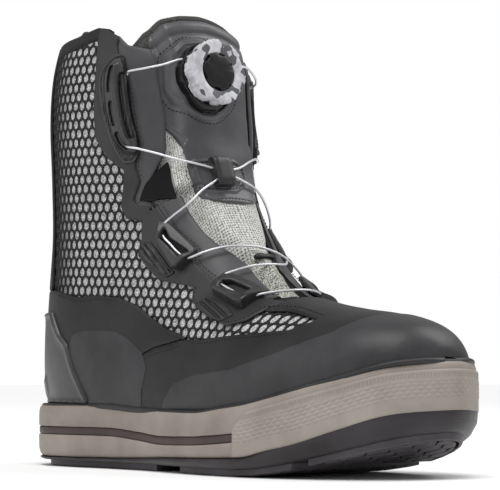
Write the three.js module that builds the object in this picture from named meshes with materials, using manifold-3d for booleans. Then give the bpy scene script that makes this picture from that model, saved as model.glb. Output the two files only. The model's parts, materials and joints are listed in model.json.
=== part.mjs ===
// Wading boot, right foot, standing empty on a level floor.
// Millimetres, +Z up, +Y to the toe, +X to the outer side. The origin is on the floor under the heel.

import * as THREE from 'three';
import { mergeVertices } from 'three/addons/utils/BufferGeometryUtils.js';
import Module from 'manifold-3d';

const wasm = await Module();
wasm.setup();

// Driving sizes
const LENGTH = 318;          // over the sole, heel edge to toe tip
const HEEL_BACK = 44;        // from the origin back to the heel edge of the sole
const SOLE_WIDTH = 113;      // over the sole at the ball
const SOLE_HEIGHT = 35;      // floor to the rim of the sole at the heel
const FORM_WIDTH = 0.907 * SOLE_WIDTH; // over the finished upper at the ball
const UPPER_HEIGHT = 215;    // rim of the sole to the collar at the back

const GAP = 0.3;             // clearance between two pieces that touch
const UPPER_WALL = 2.6;      // textile, foam and lining of the upper
const SKIN_WALL = 0.9;       // moulded honeycomb skin over the upper
const OVERLAY_WALL = 1.2;    // counter, vamp, eyestay and back panel
const FILM_WALL = 0.8;       // toe cap film on the vamp
const CLIP_WALL = 2.4;       // moulded heel cradle
const UNDERLAP = 3;          // how far the skin runs on under the overlays
const OVERLAY_TUCK = 6;      // how far the overlays run down inside the sole's rim

const LUG_DEPTH = 3.6;
const LUG_PITCH = 30;
const LUG_GROOVE = 2.6;
const LUG_ROOT = 0.8;        // how far a lug runs into the plate
const SOLE_EDGE = 7;         // lugs stay this far inside the outline
const STRIPE_HEIGHT = 4;
const STRIPE_DEPTH = 1.6;
const STRIPE_SUNK = 0.4;     // outer face of the stripe under the side wall
const STRIPE_END = 0.70;     // share of the length where the stripe stops
const GUARD_WALL = 0.9;
const GUARD_TOP_MARGIN = 4.2;
const GUARD_LOW_MARGIN = 1.6;
const WELT_HEIGHT = 2.2;
const WELT_WALL = 1.6;
const INSOLE_THICKNESS = 4;

const TONGUE_THICKNESS = 6;
const TONGUE_CROWN = 6;      // how far the tongue swells up between the flaps
const TONGUE_CLEARANCE = 1.4; // under the flaps, whose inner face is faceted
const TONGUE_MARGIN = 3;     // from the edge of a flap to where the swelling starts
const PANEL_WALL = 1;        // smooth panel on the tongue
const LACE_DIAMETER = 1.4;
const LACE_CLEARANCE = 0.5;
const LACE_SIDES = 4;
const SINK = 4;              // how far a seated piece is drawn on before its seat is cut
const DIAL_DIAMETER = 36;
const DIAL_CAP_DIAMETER = 19;
const DIAL_BASE_HEIGHT = 4;
const DIAL_KNOB_HEIGHT = 9;
const DIAL_FLARE = 1.5;      // foot of the base beyond the knob
const DIAL_BEVEL = 1.5;
const DIAL_CAP_DEPTH = 3;    // how deep the cap sits in the knob
const DIAL_CAP_RISE = 0.8;
const DIAL_TEETH = 8;
const DIAL_TOOTH = 2.2;
const DIAL_SIDES = 24;
const CAP_SIDES = 16;
const GUIDE_HEIGHT = 4.6;
const BOX_GUIDE_HEIGHT = 6.5;
const GUIDE_FLOOR = 1.6;     // wall left under the window of a guide
const GUIDE_WINDOW = 0.55;   // window of a guide as a share of its outline
const TONGUE_GUIDE_SIZE = [12, 17, 6.5];
const TAB_SIZE = [17, 15, 4.2];
const LOOP_WIDTH = 22;
const LOOP_WALL = 1.6;
const LOOP_RISE = 10;        // from the collar to the top of the pull loop
const LOOP_FLAT = 2.1;       // the flat loop stands this far off the round inside

// Radial places of the layers, from the outer surface of the finished upper
const SKIN_OUT = -OVERLAY_WALL - GAP;
const SKIN_IN = SKIN_OUT - SKIN_WALL;
const UPPER_OUT = SKIN_IN - GAP;
const UPPER_IN = UPPER_OUT - UPPER_WALL;

const FLATNESS = 0.08;       // faces within this of flat are merged
const FORM_SIDES = 16;       // points round one section of the form
const SOLE_STATIONS = 14;    // stations from heel to toe

// Shares of the named sizes become places
const along = share => share * LENGTH - HEEL_BACK;
const up = share => SOLE_HEIGHT + share * UPPER_HEIGHT;

// Shares well clear of the boot: behind the heel, ahead of the toe, under the upper and over it
const BEHIND = -0.05;
const AHEAD = 1.1;
const BELOW = -0.2;
const ABOVE = 1.2;
const FAR_UP = SOLE_HEIGHT + 1.5 * UPPER_HEIGHT;
const FAR_DOWN = -2 * SOLE_HEIGHT;

// The form: sections from the toe, over the instep and round the heel, up the shaft.
// Each runs from a low or back point to a top or front point, with a half width each side,
// the share of its height where it is widest, and how square it is above and below.
const FORM = [
  // topAlong topUp lowAlong lowUp outer inner waist topSquare lowSquare
  [0.975, 0.126, 0.975, 0.102, 0.020, 0.059, 0.50, 2.00, 2.00],
  [0.972, 0.149, 0.972, 0.023, 0.098, 0.166, 0.50, 2.20, 2.40],
  [0.959, 0.177, 0.959, -0.014, 0.195, 0.244, 0.50, 2.30, 2.60],
  [0.937, 0.202, 0.937, -0.042, 0.283, 0.302, 0.50, 2.35, 2.80],
  [0.899, 0.221, 0.899, -0.060, 0.371, 0.361, 0.50, 2.35, 3.00],
  [0.849, 0.235, 0.849, -0.079, 0.439, 0.410, 0.50, 2.30, 3.00],
  [0.783, 0.247, 0.783, -0.098, 0.502, 0.449, 0.50, 2.20, 3.00],
  [0.714, 0.265, 0.714, -0.112, 0.537, 0.463, 0.47, 2.10, 3.00],
  [0.642, 0.293, 0.642, -0.121, 0.537, 0.454, 0.45, 2.10, 3.00],
  [0.599, 0.326, 0.553, -0.121, 0.507, 0.439, 0.44, 2.20, 3.00],
  [0.560, 0.372, 0.462, -0.121, 0.478, 0.434, 0.44, 2.35, 3.00],
  [0.524, 0.433, 0.365, -0.121, 0.468, 0.434, 0.44, 2.50, 2.90],
  [0.494, 0.498, 0.264, -0.121, 0.463, 0.444, 0.45, 2.60, 2.70],
  [0.472, 0.558, 0.164, -0.121, 0.468, 0.459, 0.48, 2.65, 2.50],
  [0.456, 0.614, 0.066, -0.107, 0.473, 0.468, 0.50, 2.70, 2.30],
  [0.447, 0.665, 0.016, -0.023, 0.473, 0.478, 0.52, 2.70, 2.20],
  [0.440, 0.712, 0.006, 0.107, 0.478, 0.488, 0.54, 2.70, 2.10],
  [0.436, 0.758, 0.016, 0.256, 0.483, 0.498, 0.55, 2.70, 2.10],
  [0.431, 0.805, 0.035, 0.405, 0.498, 0.507, 0.55, 2.65, 2.15],
  [0.426, 0.860, 0.039, 0.572, 0.507, 0.512, 0.54, 2.60, 2.20],
  [0.420, 0.926, 0.039, 0.744, 0.517, 0.517, 0.52, 2.60, 2.20],
  [0.410, 0.967, 0.049, 0.879, 0.507, 0.498, 0.50, 2.50, 2.20],
  [0.393, 1.014, 0.069, 1.000, 0.478, 0.454, 0.50, 2.40, 2.20],
  [0.381, 1.056, 0.079, 1.047, 0.459, 0.429, 0.50, 2.40, 2.20],
];
const LAST_SECTION = FORM.length - 1;
const FACET_SECTIONS = [0, 1, 2, 3, 4, 6, 7, 8, 9, 10, 12, 14, 15, 16, 17, 18, 20, 21, 22, 23];

// The sole from heel to toe, heights as shares of the sole height
const SOLE = [
  // along rim stripe bed under ground
  [0.000, 1.010, 0.600, 0.49, 0.170, 0.035],
  [0.091, 1.010, 0.600, 0.47, 0.160, 0.000],
  [0.286, 1.025, 0.600, 0.45, 0.177, 0.000],
  [0.377, 0.980, 0.550, 0.44, 0.200, 0.000],
  [0.459, 0.945, 0.500, 0.42, 0.230, 0.000],
  [0.566, 0.937, 0.515, 0.42, 0.257, 0.000],
  [0.651, 1.015, 0.560, 0.44, 0.280, 0.000],
  [0.698, 1.065, 0.600, 0.47, 0.294, 0.017],
  [0.761, 1.185, 0.660, 0.56, 0.410, 0.090],
  [0.805, 1.285, 0.700, 0.66, 0.490, 0.170],
  [0.884, 1.480, 0.800, 0.88, 0.726, 0.350],
  [0.953, 1.670, 0.900, 1.05, 0.940, 0.540],
  [1.000, 1.730, 0.950, 1.13, 1.000, 0.630],
];
const RIM = 1;
const STRIPE = 2;
const BED = 3;
const UNDER = 4;
const GROUND = 5;

// Walls from the bottom up: how far in from the outline, and the share of the height
const MIDSOLE_WALL = [[3.6, 0], [1, 0.08], [0, 0.3], [0, 0.85], [1.4, 1]];
const PLATE_WALL = [[SOLE_EDGE, 0], [3, 0.12], [1.6, 0.5], [2.2, 1]];

// Lug pads under the sole, as shares of its length, and how far beyond a pad a lug may be centred
const PADS = [[0.0, 0.415], [0.50, 0.785], [0.815, 1.0]];
const PAD_MARGIN = 0.03;

// Rear edge of the toe guard: shares of the length and of the sole height
const GUARD_BACK = [[0.677, -1], [0.684, 0.8], [0.692, 0.9], [0.706, 0.95], [0.73, 3]];

// The sole seen from above, heel edge to toe tip and back, as shares of length and width
const OUTLINE = [
  [0.000, 0.000], [0.019, 0.230], [0.082, 0.363], [0.173, 0.398], [0.283, 0.389], [0.409, 0.416],
  [0.519, 0.487], [0.629, 0.531], [0.739, 0.520], [0.849, 0.438], [0.940, 0.275], [0.991, -0.035],
  [0.953, -0.283], [0.868, -0.425], [0.755, -0.469], [0.645, -0.451], [0.519, -0.389], [0.393, -0.336],
  [0.283, -0.336], [0.173, -0.372], [0.082, -0.345], [0.019, -0.221],
];

// The throat: section number and half width each side, as a share of the form's width.
// The step between 13.6 and 16 is the flex notch in the flaps.
const THROAT = [
  [7.85, 0.135], [9.2, 0.128], [10.05, 0.120], [10.54, 0.160], [11.25, 0.228], [11.8, 0.260],
  [12.68, 0.285], [13.6, 0.296], [14.1, 0.395], [15.0, 0.405], [15.5, 0.370], [16.0, 0.328],
  [17.6, 0.326], [19.7, 0.350], [21.0, 0.368], [23.0, 0.370],
];

// Edges in side view, as shares of length and upper height
const SKIN_FRONT = [
  [0.277, 1.010], [0.283, 0.879], [0.276, 0.780], [0.280, 0.707], [0.310, 0.651], [0.341, 0.619],
  [0.339, 0.572], [0.333, 0.526], [0.345, 0.492], [0.380, 0.483], [0.383, 0.433], [0.377, 0.394],
  [0.408, 0.353], [0.432, 0.326], [0.509, 0.308], [0.516, 0.267], [0.559, 0.232], [0.613, 0.205],
  [0.648, 0.220], [0.664, 0.242], [0.704, 0.242], [0.739, 0.233], [0.788, 0.217],
];
const SKIN_LOW = [
  [0.113, 0.316], [0.148, 0.312], [0.211, 0.293], [0.283, 0.294], [0.333, 0.287], [0.381, 0.265],
  [0.421, 0.232], [0.463, 0.203], [0.519, 0.181], [0.560, 0.173], [0.648, 0.184], [0.758, 0.194],
];
const SKIN_BACK = 0.113;
const VAMP_START = 20;       // rows of SKIN_FRONT along the eyestay, the rest along the vamp
const COUNTER_END = 10;      // rows of SKIN_LOW along the counter, the rest along the vamp
const VAMP_TOP = [[0.673, 0.268], [0.668, 0.400], [1.100, 0.400]];
const EYESTAY_FRONT = [
  [0.324, 1.010], [0.325, 0.952], [0.345, 0.870], [0.357, 0.804], [0.366, 0.721], [0.369, 0.665],
  [0.364, 0.628], [0.373, 0.589], [0.360, 0.539], [0.370, 0.524], [0.404, 0.527], [0.447, 0.454],
  [0.492, 0.401], [0.498, 0.371], [0.539, 0.326], [0.607, 0.281], [0.648, 0.275], [0.673, 0.268],
];
const RAND_SEAM = [
  [0.387, -0.100], [0.387, 0.033], [0.394, 0.112], [0.402, 0.138], [0.437, 0.155], [0.468, 0.162],
  [0.506, 0.173],
];
const CAP_EDGE = [
  [0.440, -0.060], [0.459, 0.016], [0.491, 0.063], [0.544, 0.084], [0.656, 0.096], [0.750, 0.134],
  [0.839, 0.182], [0.876, 0.228], [0.880, 0.320],
];
const CLIP_EDGE = [
  [-0.050, 0.256], [0.124, 0.256], [0.158, 0.195], [0.184, 0.167], [0.204, 0.096], [0.229, 0.025],
  [0.235, -0.100], [-0.050, -0.100],
];
const COLLAR = [
  [-0.060, 0.986], [0.138, 0.986], [0.208, 0.991], [0.267, 1.007], [0.296, 1.000], [0.321, 0.981],
  [0.343, 0.953], [0.377, 0.942], [0.530, 0.940],
];
const TOP_GUIDE = [
  [0.321, 0.928], [0.307, 0.907], [0.300, 0.856], [0.300, 0.795], [0.312, 0.733], [0.328, 0.688],
  [0.347, 0.660], [0.361, 0.660], [0.362, 0.721], [0.352, 0.800], [0.339, 0.870], [0.330, 0.925],
];
const MID_GUIDE = [
  [0.421, 0.477], [0.436, 0.475], [0.493, 0.403], [0.493, 0.391], [0.477, 0.351], [0.467, 0.352],
  [0.423, 0.426],
];
const LOW_GUIDE = [
  [0.551, 0.333], [0.560, 0.337], [0.624, 0.293], [0.630, 0.281], [0.625, 0.249], [0.612, 0.252],
  [0.552, 0.290],
];

// Places on the form: section number and half turns round it from the low point, outer side first
const DIAL = { section: 19.15, turn: 0.968 };
const TONGUE_GUIDE = { section: 13.9, turn: 0.975 };
const TAB = { section: 9.75, turn: 1.005 };

const COLOURS = {
  outsole: 0x2b292b, midsole: 0x968f87, stripe: 0x3e3432, guard: 0x9a938b, welt: 0x1d1c1d,
  insole: 0x3a3a3c, upper: 0x303032, skin: 0x1c1c1e, overlay: 0x3a3a3c, film: 0x46464a,
  clip: 0x2f2f31, tongue: 0xa5a59b, panel: 0x4b4b50, dial: 0xafafb4, dialDark: 0x121214,
  guide: 0x29292b, lace: 0xd2d2d4, webbing: 0x3c3c3c,
};
function finish(colour, roughness = 0.7, metalness = 0) {
  return new THREE.MeshStandardMaterial({ color: colour, roughness, metalness });
}

const boot = new THREE.Group();

// Solids and meshes
function solidOf(geometry) {
  const plain = geometry.clone();
  plain.deleteAttribute('normal');
  plain.deleteAttribute('uv');
  const merged = mergeVertices(plain, 1e-4);
  const faces = [];
  for (let k = 0; k < merged.index.count; k += 3) {
    const [a, b, c] = merged.index.array.slice(k, k + 3);
    if (a !== b && b !== c && c !== a) {
      faces.push(a, b, c);
    }
  }
  return new wasm.Manifold(new wasm.Mesh({
    numProp: 3,
    vertProperties: new Float32Array(merged.attributes.position.array),
    triVerts: new Uint32Array(faces),
  }));
}

function addPiece(name, solid, material) {
  const cut = solid.simplify(FLATNESS).getMesh();
  const geometry = new THREE.BufferGeometry();
  geometry.setAttribute('position', new THREE.BufferAttribute(new Float32Array(cut.vertProperties), 3));
  geometry.setIndex(new THREE.BufferAttribute(new Uint32Array(cut.triVerts), 1));
  geometry.computeVertexNormals();
  const mesh = new THREE.Mesh(geometry, material);
  mesh.name = name;
  boot.add(mesh);
}

function joined(solids) {
  return solids.reduce((whole, next) => whole.add(next));
}

// A closed body through rings of equal, even count. Ring point 0 and the middle point are the
// two poles of a ring, and points at the same distance from them are bridged to close the ends.
function loft(rings) {
  const count = rings[0].length;
  const points = rings.flat();
  const faces = [];
  for (let ring = 0; ring < rings.length - 1; ring += 1) {
    for (let k = 0; k < count; k += 1) {
      const a = ring * count + k;
      const b = ring * count + (k + 1) % count;
      faces.push(a, b, b + count, a, b + count, a + count);
    }
  }
  const lastRing = (rings.length - 1) * count;
  for (let k = 0; k < count / 2; k += 1) {
    const here = [k, k + 1, count - k - 1, (count - k) % count];
    for (const [i, j, m] of [[0, 1, 2], [0, 2, 3]]) {
      faces.push(here[i], here[m], here[j]);
      faces.push(lastRing + here[i], lastRing + here[j], lastRing + here[m]);
    }
  }
  const geometry = new THREE.BufferGeometry();
  const positions = new Float32Array(points.flatMap(p => [p.x, p.y, p.z]));
  geometry.setAttribute('position', new THREE.BufferAttribute(positions, 3));
  geometry.setIndex(faces);
  return solidOf(geometry);
}

// Catmull-Rom value of one column between the rows of a table
function blend(before, here, after, beyond, t) {
  return 0.5 * (2 * here + (after - before) * t
    + (2 * before - 5 * here + 4 * after - beyond) * t * t
    + (3 * here - before - 3 * after + beyond) * t * t * t);
}

function formRow(section) {
  const s = THREE.MathUtils.clamp(section, 0, LAST_SECTION);
  const row = Math.min(Math.floor(s), LAST_SECTION - 1);
  return FORM[0].map((_, column) => {
    const here = FORM[row][column];
    const after = FORM[row + 1][column];
    const before = row > 0 ? FORM[row - 1][column] : 2 * here - after;
    const beyond = row + 2 <= LAST_SECTION ? FORM[row + 2][column] : 2 * after - here;
    return blend(before, here, after, beyond, s - row);
  });
}

function formSurface(section, turn) {
  const [topAlong, topUp, lowAlong, lowUp, outer, inner, waist, topSquare, lowSquare] = formRow(section);
  const wrapped = ((turn % 2) + 2) % 2;
  const side = wrapped < 1 ? 1 : -1;
  const angle = Math.PI * (wrapped < 1 ? wrapped : 2 - wrapped);
  const above = angle > Math.PI / 2;
  const square = 2 / (above ? topSquare : lowSquare);
  const rise = Math.abs(Math.cos(angle)) ** square;
  const reach = Math.abs(Math.sin(angle)) ** square;
  const share = above ? waist + (1 - waist) * rise : waist * (1 - rise);
  return new THREE.Vector3(
    side * reach * FORM_WIDTH * (side > 0 ? outer : inner),
    along(lowAlong + (topAlong - lowAlong) * share),
    up(lowUp + (topUp - lowUp) * share),
  );
}

function formNormal(section, turn) {
  const step = 0.02;
  const s = THREE.MathUtils.clamp(section, step, LAST_SECTION - step);
  const lengthwise = formSurface(s + step, turn).sub(formSurface(s - step, turn));
  const round = formSurface(s, turn + step).sub(formSurface(s, turn - step));
  return round.cross(lengthwise).normalize();
}

function formPoint(section, turn, offset = 0) {
  return formSurface(section, turn).addScaledVector(formNormal(section, turn), offset);
}

function formSolid(offset) {
  const rings = FACET_SECTIONS.map(section => Array.from(
    { length: FORM_SIDES },
    (_, k) => formPoint(section, 2 * k / FORM_SIDES, offset),
  ));
  return loft(rings);
}

// Half width of the throat at a section
function throatWidth(section) {
  const next = Math.max(1, THROAT.findIndex(row => row[0] >= section));
  const [fromSection, fromWidth] = THROAT[next - 1];
  const [toSection, toWidth] = THROAT[next];
  const t = THREE.MathUtils.clamp((section - fromSection) / (toSection - fromSection), 0, 1);
  return FORM_WIDTH * THREE.MathUtils.lerp(fromWidth, toWidth, t);
}

// A body that clears the throat between the flaps
function throatSolid(extra) {
  const REACH_OUT = 14;
  const REACH_IN = 48;
  const rings = THROAT.map(([section, width]) => {
    const top = formSurface(section, 1);
    const low = formSurface(section, 0);
    const inward = low.clone().sub(top).normalize();
    const half = FORM_WIDTH * width + extra;
    const corner = (x, depth) => top.clone().addScaledVector(inward, depth).setX(x);
    return [[half, REACH_IN], [half, -REACH_OUT], [-half, -REACH_OUT], [-half, REACH_IN]]
      .map(([x, depth]) => corner(x, depth));
  });
  return loft(rings);
}

// Height of the sole at a place along it, from one column of its table
function soleHeight(place, column) {
  const share = THREE.MathUtils.clamp((place + HEEL_BACK) / LENGTH, 0, 1);
  const next = Math.max(1, SOLE.findIndex(row => row[0] >= share));
  const rise = row => {
    const [here, after] = [SOLE[row], SOLE[row + 1]];
    return (after[column] - here[column]) / (after[0] - here[0]);
  };
  // Slope at a row, level where the line is flat on either side, so that it never dips under it
  const slope = row => {
    const before = rise(Math.max(row - 1, 0));
    const after = rise(Math.min(row, SOLE.length - 2));
    return before * after <= 0 ? 0 : 2 * before * after / (before + after);
  };
  const from = SOLE[next - 1];
  const to = SOLE[next];
  const span = to[0] - from[0];
  const t = (share - from[0]) / span;
  const value = (2 * t ** 3 - 3 * t ** 2 + 1) * from[column]
    + (t ** 3 - 2 * t ** 2 + t) * span * slope(next - 1)
    + (3 * t ** 2 - 2 * t ** 3) * to[column]
    + (t ** 3 - t ** 2) * span * slope(next);
  return SOLE_HEIGHT * value;
}

// The outline as a ring: heel to toe up the outer side, back down the inner side
function soleRing() {
  const corners = OUTLINE.map(([share, across]) => new THREE.Vector3(across * SOLE_WIDTH, along(share), 0));
  const curve = new THREE.CatmullRomCurve3(corners, true, 'centripetal').getPoints(600);
  const toe = curve.reduce((best, point, index) => (point.y > curve[best].y ? index : best), 0);
  const heel = curve.reduce((best, point, index) => (point.y < curve[best].y ? index : best), 0);
  const walk = (step, stop) => {
    const side = [];
    for (let index = heel; index !== stop; index = (index + step + curve.length) % curve.length) {
      side.push(curve[index]);
    }
    return [...side, curve[stop]];
  };
  const acrossAt = (side, y) => {
    const index = Math.max(1, side.findIndex(point => point.y >= y));
    const from = side[index - 1];
    const to = side[index];
    return THREE.MathUtils.lerp(from.x, to.x, (y - from.y) / Math.max(to.y - from.y, 1e-9));
  };
  const outerSide = walk(1, toe);
  const innerSide = walk(-1, toe);
  const stations = Array.from({ length: SOLE_STATIONS + 1 }, (_, k) => {
    const share = 0.5 - 0.5 * Math.cos(Math.PI * k / SOLE_STATIONS);
    return THREE.MathUtils.lerp(curve[heel].y, curve[toe].y, share);
  });
  const middle = stations.slice(1, -1);
  return [
    curve[heel].clone(),
    ...middle.map(y => new THREE.Vector3(acrossAt(outerSide, y), y, 0)),
    curve[toe].clone(),
    ...middle.reverse().map(y => new THREE.Vector3(acrossAt(innerSide, y), y, 0)),
  ];
}
const OUTLINE_RING = soleRing();
const STATIONS = OUTLINE_RING.slice(0, SOLE_STATIONS + 1).map(point => point.y);

function insetRing(inset, heightAt) {
  const count = OUTLINE_RING.length;
  return OUTLINE_RING.map((point, k) => {
    const before = OUTLINE_RING[(k + count - 1) % count];
    const after = OUTLINE_RING[(k + 1) % count];
    const outward = new THREE.Vector3(after.y - before.y, before.x - after.x, 0).normalize();
    const moved = point.clone().addScaledVector(outward, -inset);
    return moved.setZ(heightAt(moved.y));
  });
}

// Sole body through levels of inset and height, from the bottom up
function soleSolid(levels) {
  return loft(levels.map(([inset, heightAt]) => insetRing(inset, heightAt)));
}

function soleBand(outset, inset) {
  const low = () => FAR_DOWN;
  const high = () => 3 * SOLE_HEIGHT;
  return soleSolid([[outset, low], [outset, high]]).subtract(soleSolid([[inset, low], [inset, high]]));
}

// An outline in side view, run across the boot between two places
function sidePrism(outline, from = -SOLE_WIDTH, to = SOLE_WIDTH) {
  const shape = new THREE.Shape(outline.map(([y, z]) => new THREE.Vector2(y, z)));
  const geometry = new THREE.ExtrudeGeometry(shape, { depth: to - from, bevelEnabled: false });
  geometry.translate(0, 0, from);
  geometry.applyMatrix4(new THREE.Matrix4().makeBasis(
    new THREE.Vector3(0, 1, 0),
    new THREE.Vector3(0, 0, 1),
    new THREE.Vector3(1, 0, 0),
  ));
  return solidOf(geometry);
}

const placed = outline => outline.map(([a, u]) => [along(a), up(u)]);

// The outline moved inwards by a distance, or outwards by a negative one
function inset(outline, distance) {
  const area = outline.reduce((sum, [x, y], k) => {
    const [nextX, nextY] = outline[(k + 1) % outline.length];
    return sum + x * nextY - nextX * y;
  }, 0);
  const turnSign = Math.sign(area);
  return outline.map(([x, y], k) => {
    const before = outline[(k + outline.length - 1) % outline.length];
    const after = outline[(k + 1) % outline.length];
    const inBefore = new THREE.Vector2(before[1] - y, x - before[0]).normalize().multiplyScalar(turnSign);
    const inAfter = new THREE.Vector2(y - after[1], after[0] - x).normalize().multiplyScalar(turnSign);
    const bisector = inBefore.add(inAfter).normalize();
    const sharpness = Math.max(0.5, Math.abs(bisector.dot(inAfter)));
    return [x + bisector.x * distance / sharpness, y + bisector.y * distance / sharpness];
  });
}

// The outline shrunk towards its middle
function shrunk(outline, share) {
  const middle = [0, 1].map(axis => outline.reduce((sum, point) => sum + point[axis], 0) / outline.length);
  return outline.map(point => point.map((value, axis) => middle[axis] + (value - middle[axis]) * share));
}

// Everything above or below a line of the sole
function soleProfile(column, clearance, farHeight) {
  const places = [along(BEHIND), ...STATIONS, along(AHEAD)];
  const line = places.map(place => [place, soleHeight(place, column) + clearance]);
  return [...line, [along(AHEAD), farHeight], [along(BEHIND), farHeight]];
}

const form = {
  inside: formSolid(UPPER_IN),
  upper: formSolid(UPPER_OUT),
  skinIn: formSolid(SKIN_IN),
  skinOut: formSolid(SKIN_OUT),
  overlayIn: formSolid(-OVERLAY_WALL),
  overlayOut: formSolid(0),
  clear: formSolid(GAP),
};
const collarEnds = [COLLAR[COLLAR.length - 1], COLLAR[0]].map(([share]) => [along(share), FAR_UP]);
const aboveCollar = sidePrism([...placed(COLLAR), ...collarEnds]);
const outerHalf = [GAP, SOLE_WIDTH];
const innerHalf = [-SOLE_WIDTH, -GAP];

// A shell between two offsets of the form, inside an outline in side view
function patch(lowOffset, highOffset, outline, [from, to] = [-SOLE_WIDTH, SOLE_WIDTH]) {
  return sidePrism(outline, from, to).intersect(formSolid(highOffset)).subtract(formSolid(lowOffset));
}

// Sole
function buildSole() {
  const plateBottom = y => soleHeight(y, GROUND) + LUG_DEPTH;
  const plateTop = y => soleHeight(y, UNDER) - GAP;
  const plateAt = share => y => THREE.MathUtils.lerp(plateBottom(y), plateTop(y), share);
  const plate = soleSolid(PLATE_WALL.map(([inward, share]) => [inward, plateAt(share)]));
  const tread = soleSolid([
    [SOLE_EDGE, y => soleHeight(y, GROUND)],
    [SOLE_EDGE, y => plateBottom(y) + LUG_ROOT],
  ]);
  addPiece('outsole', plate.add(tread.intersect(lugField())), finish(COLOURS.outsole, 0.75));

  const wallAt = share => y => THREE.MathUtils.lerp(soleHeight(y, UNDER), soleHeight(y, RIM), share);
  const block = soleSolid(MIDSOLE_WALL.map(([inward, share]) => [inward, wallAt(share)]));
  const stripeLine = half => {
    const stop = along(STRIPE_END);
    const places = [along(BEHIND), ...STATIONS.filter(y => y < stop), stop];
    const line = sign => places.map(y => [y, soleHeight(y, STRIPE) + sign * half]);
    return [...line(-1), ...line(1).reverse()];
  };
  const groove = soleBand(-STRIPE_DEPTH, STRIPE_DEPTH)
    .intersect(sidePrism(stripeLine(STRIPE_HEIGHT / 2 + GAP)));
  const cup = form.clear.intersect(sidePrism(soleProfile(BED, 0, FAR_UP)));
  addPiece('midsole', block.subtract(groove).subtract(cup), finish(COLOURS.midsole, 0.85));

  const stripe = soleBand(STRIPE_SUNK, STRIPE_DEPTH - GAP)
    .intersect(sidePrism(stripeLine(STRIPE_HEIGHT / 2)));
  addPiece('sidewall_stripe', stripe, finish(COLOURS.stripe, 0.6));

  const guardTop = soleProfile(RIM, -GUARD_TOP_MARGIN, FAR_DOWN);
  const guardLow = soleProfile(UNDER, GUARD_LOW_MARGIN, FAR_UP);
  const guardStart = sidePrism([
    ...GUARD_BACK.map(([share, height]) => [along(share), height * SOLE_HEIGHT]),
    [along(AHEAD), FAR_UP], [along(AHEAD), FAR_DOWN],
  ]);
  const guard = soleBand(-GAP - GUARD_WALL, -GAP)
    .intersect(sidePrism(guardTop)).intersect(sidePrism(guardLow)).intersect(guardStart);
  addPiece('toe_guard', guard, finish(COLOURS.guard, 0.9));

  const welt = formSolid(GAP + WELT_WALL).subtract(form.clear)
    .intersect(sidePrism(soleProfile(RIM, GAP, FAR_UP)))
    .intersect(sidePrism(soleProfile(RIM, GAP + WELT_HEIGHT, FAR_DOWN)));
  addPiece('welt', welt, finish(COLOURS.welt, 0.6));

  const insole = formSolid(UPPER_IN - GAP)
    .intersect(sidePrism(soleProfile(BED, GAP, FAR_UP)))
    .intersect(sidePrism(soleProfile(BED, GAP + INSOLE_THICKNESS, FAR_DOWN)));
  addPiece('insole', insole, finish(COLOURS.insole, 0.95));
}

// Hexagonal lugs in three pads, with the arch and a flex groove left open
function lugField() {
  const lugs = [];
  const lugRadius = (LUG_PITCH - LUG_GROOVE) / Math.sqrt(3);
  const rowStep = LUG_PITCH * Math.sqrt(3) / 2;
  const rows = Math.ceil(LENGTH / rowStep);
  const columns = Math.ceil(SOLE_WIDTH / LUG_PITCH / 2);
  for (let row = -rows; row <= rows; row += 1) {
    for (let column = -columns; column <= columns; column += 1) {
      const x = (column + (row % 2 ? 0.5 : 0)) * LUG_PITCH;
      const y = row * rowStep;
      const share = (y + HEEL_BACK) / LENGTH;
      if (PADS.some(([from, to]) => share > from - PAD_MARGIN && share < to + PAD_MARGIN)) {
        const lug = new THREE.CylinderGeometry(lugRadius, lugRadius, 4 * SOLE_HEIGHT, 6);
        lug.rotateX(Math.PI / 2);
        lug.translate(x, y, 0);
        lugs.push(solidOf(lug));
      }
    }
  }
  const pads = PADS.map(([from, to]) => sidePrism([
    [along(from), FAR_DOWN], [along(to), FAR_DOWN], [along(to), FAR_UP], [along(from), FAR_UP],
  ]));
  return joined(lugs).intersect(joined(pads));
}

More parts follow.
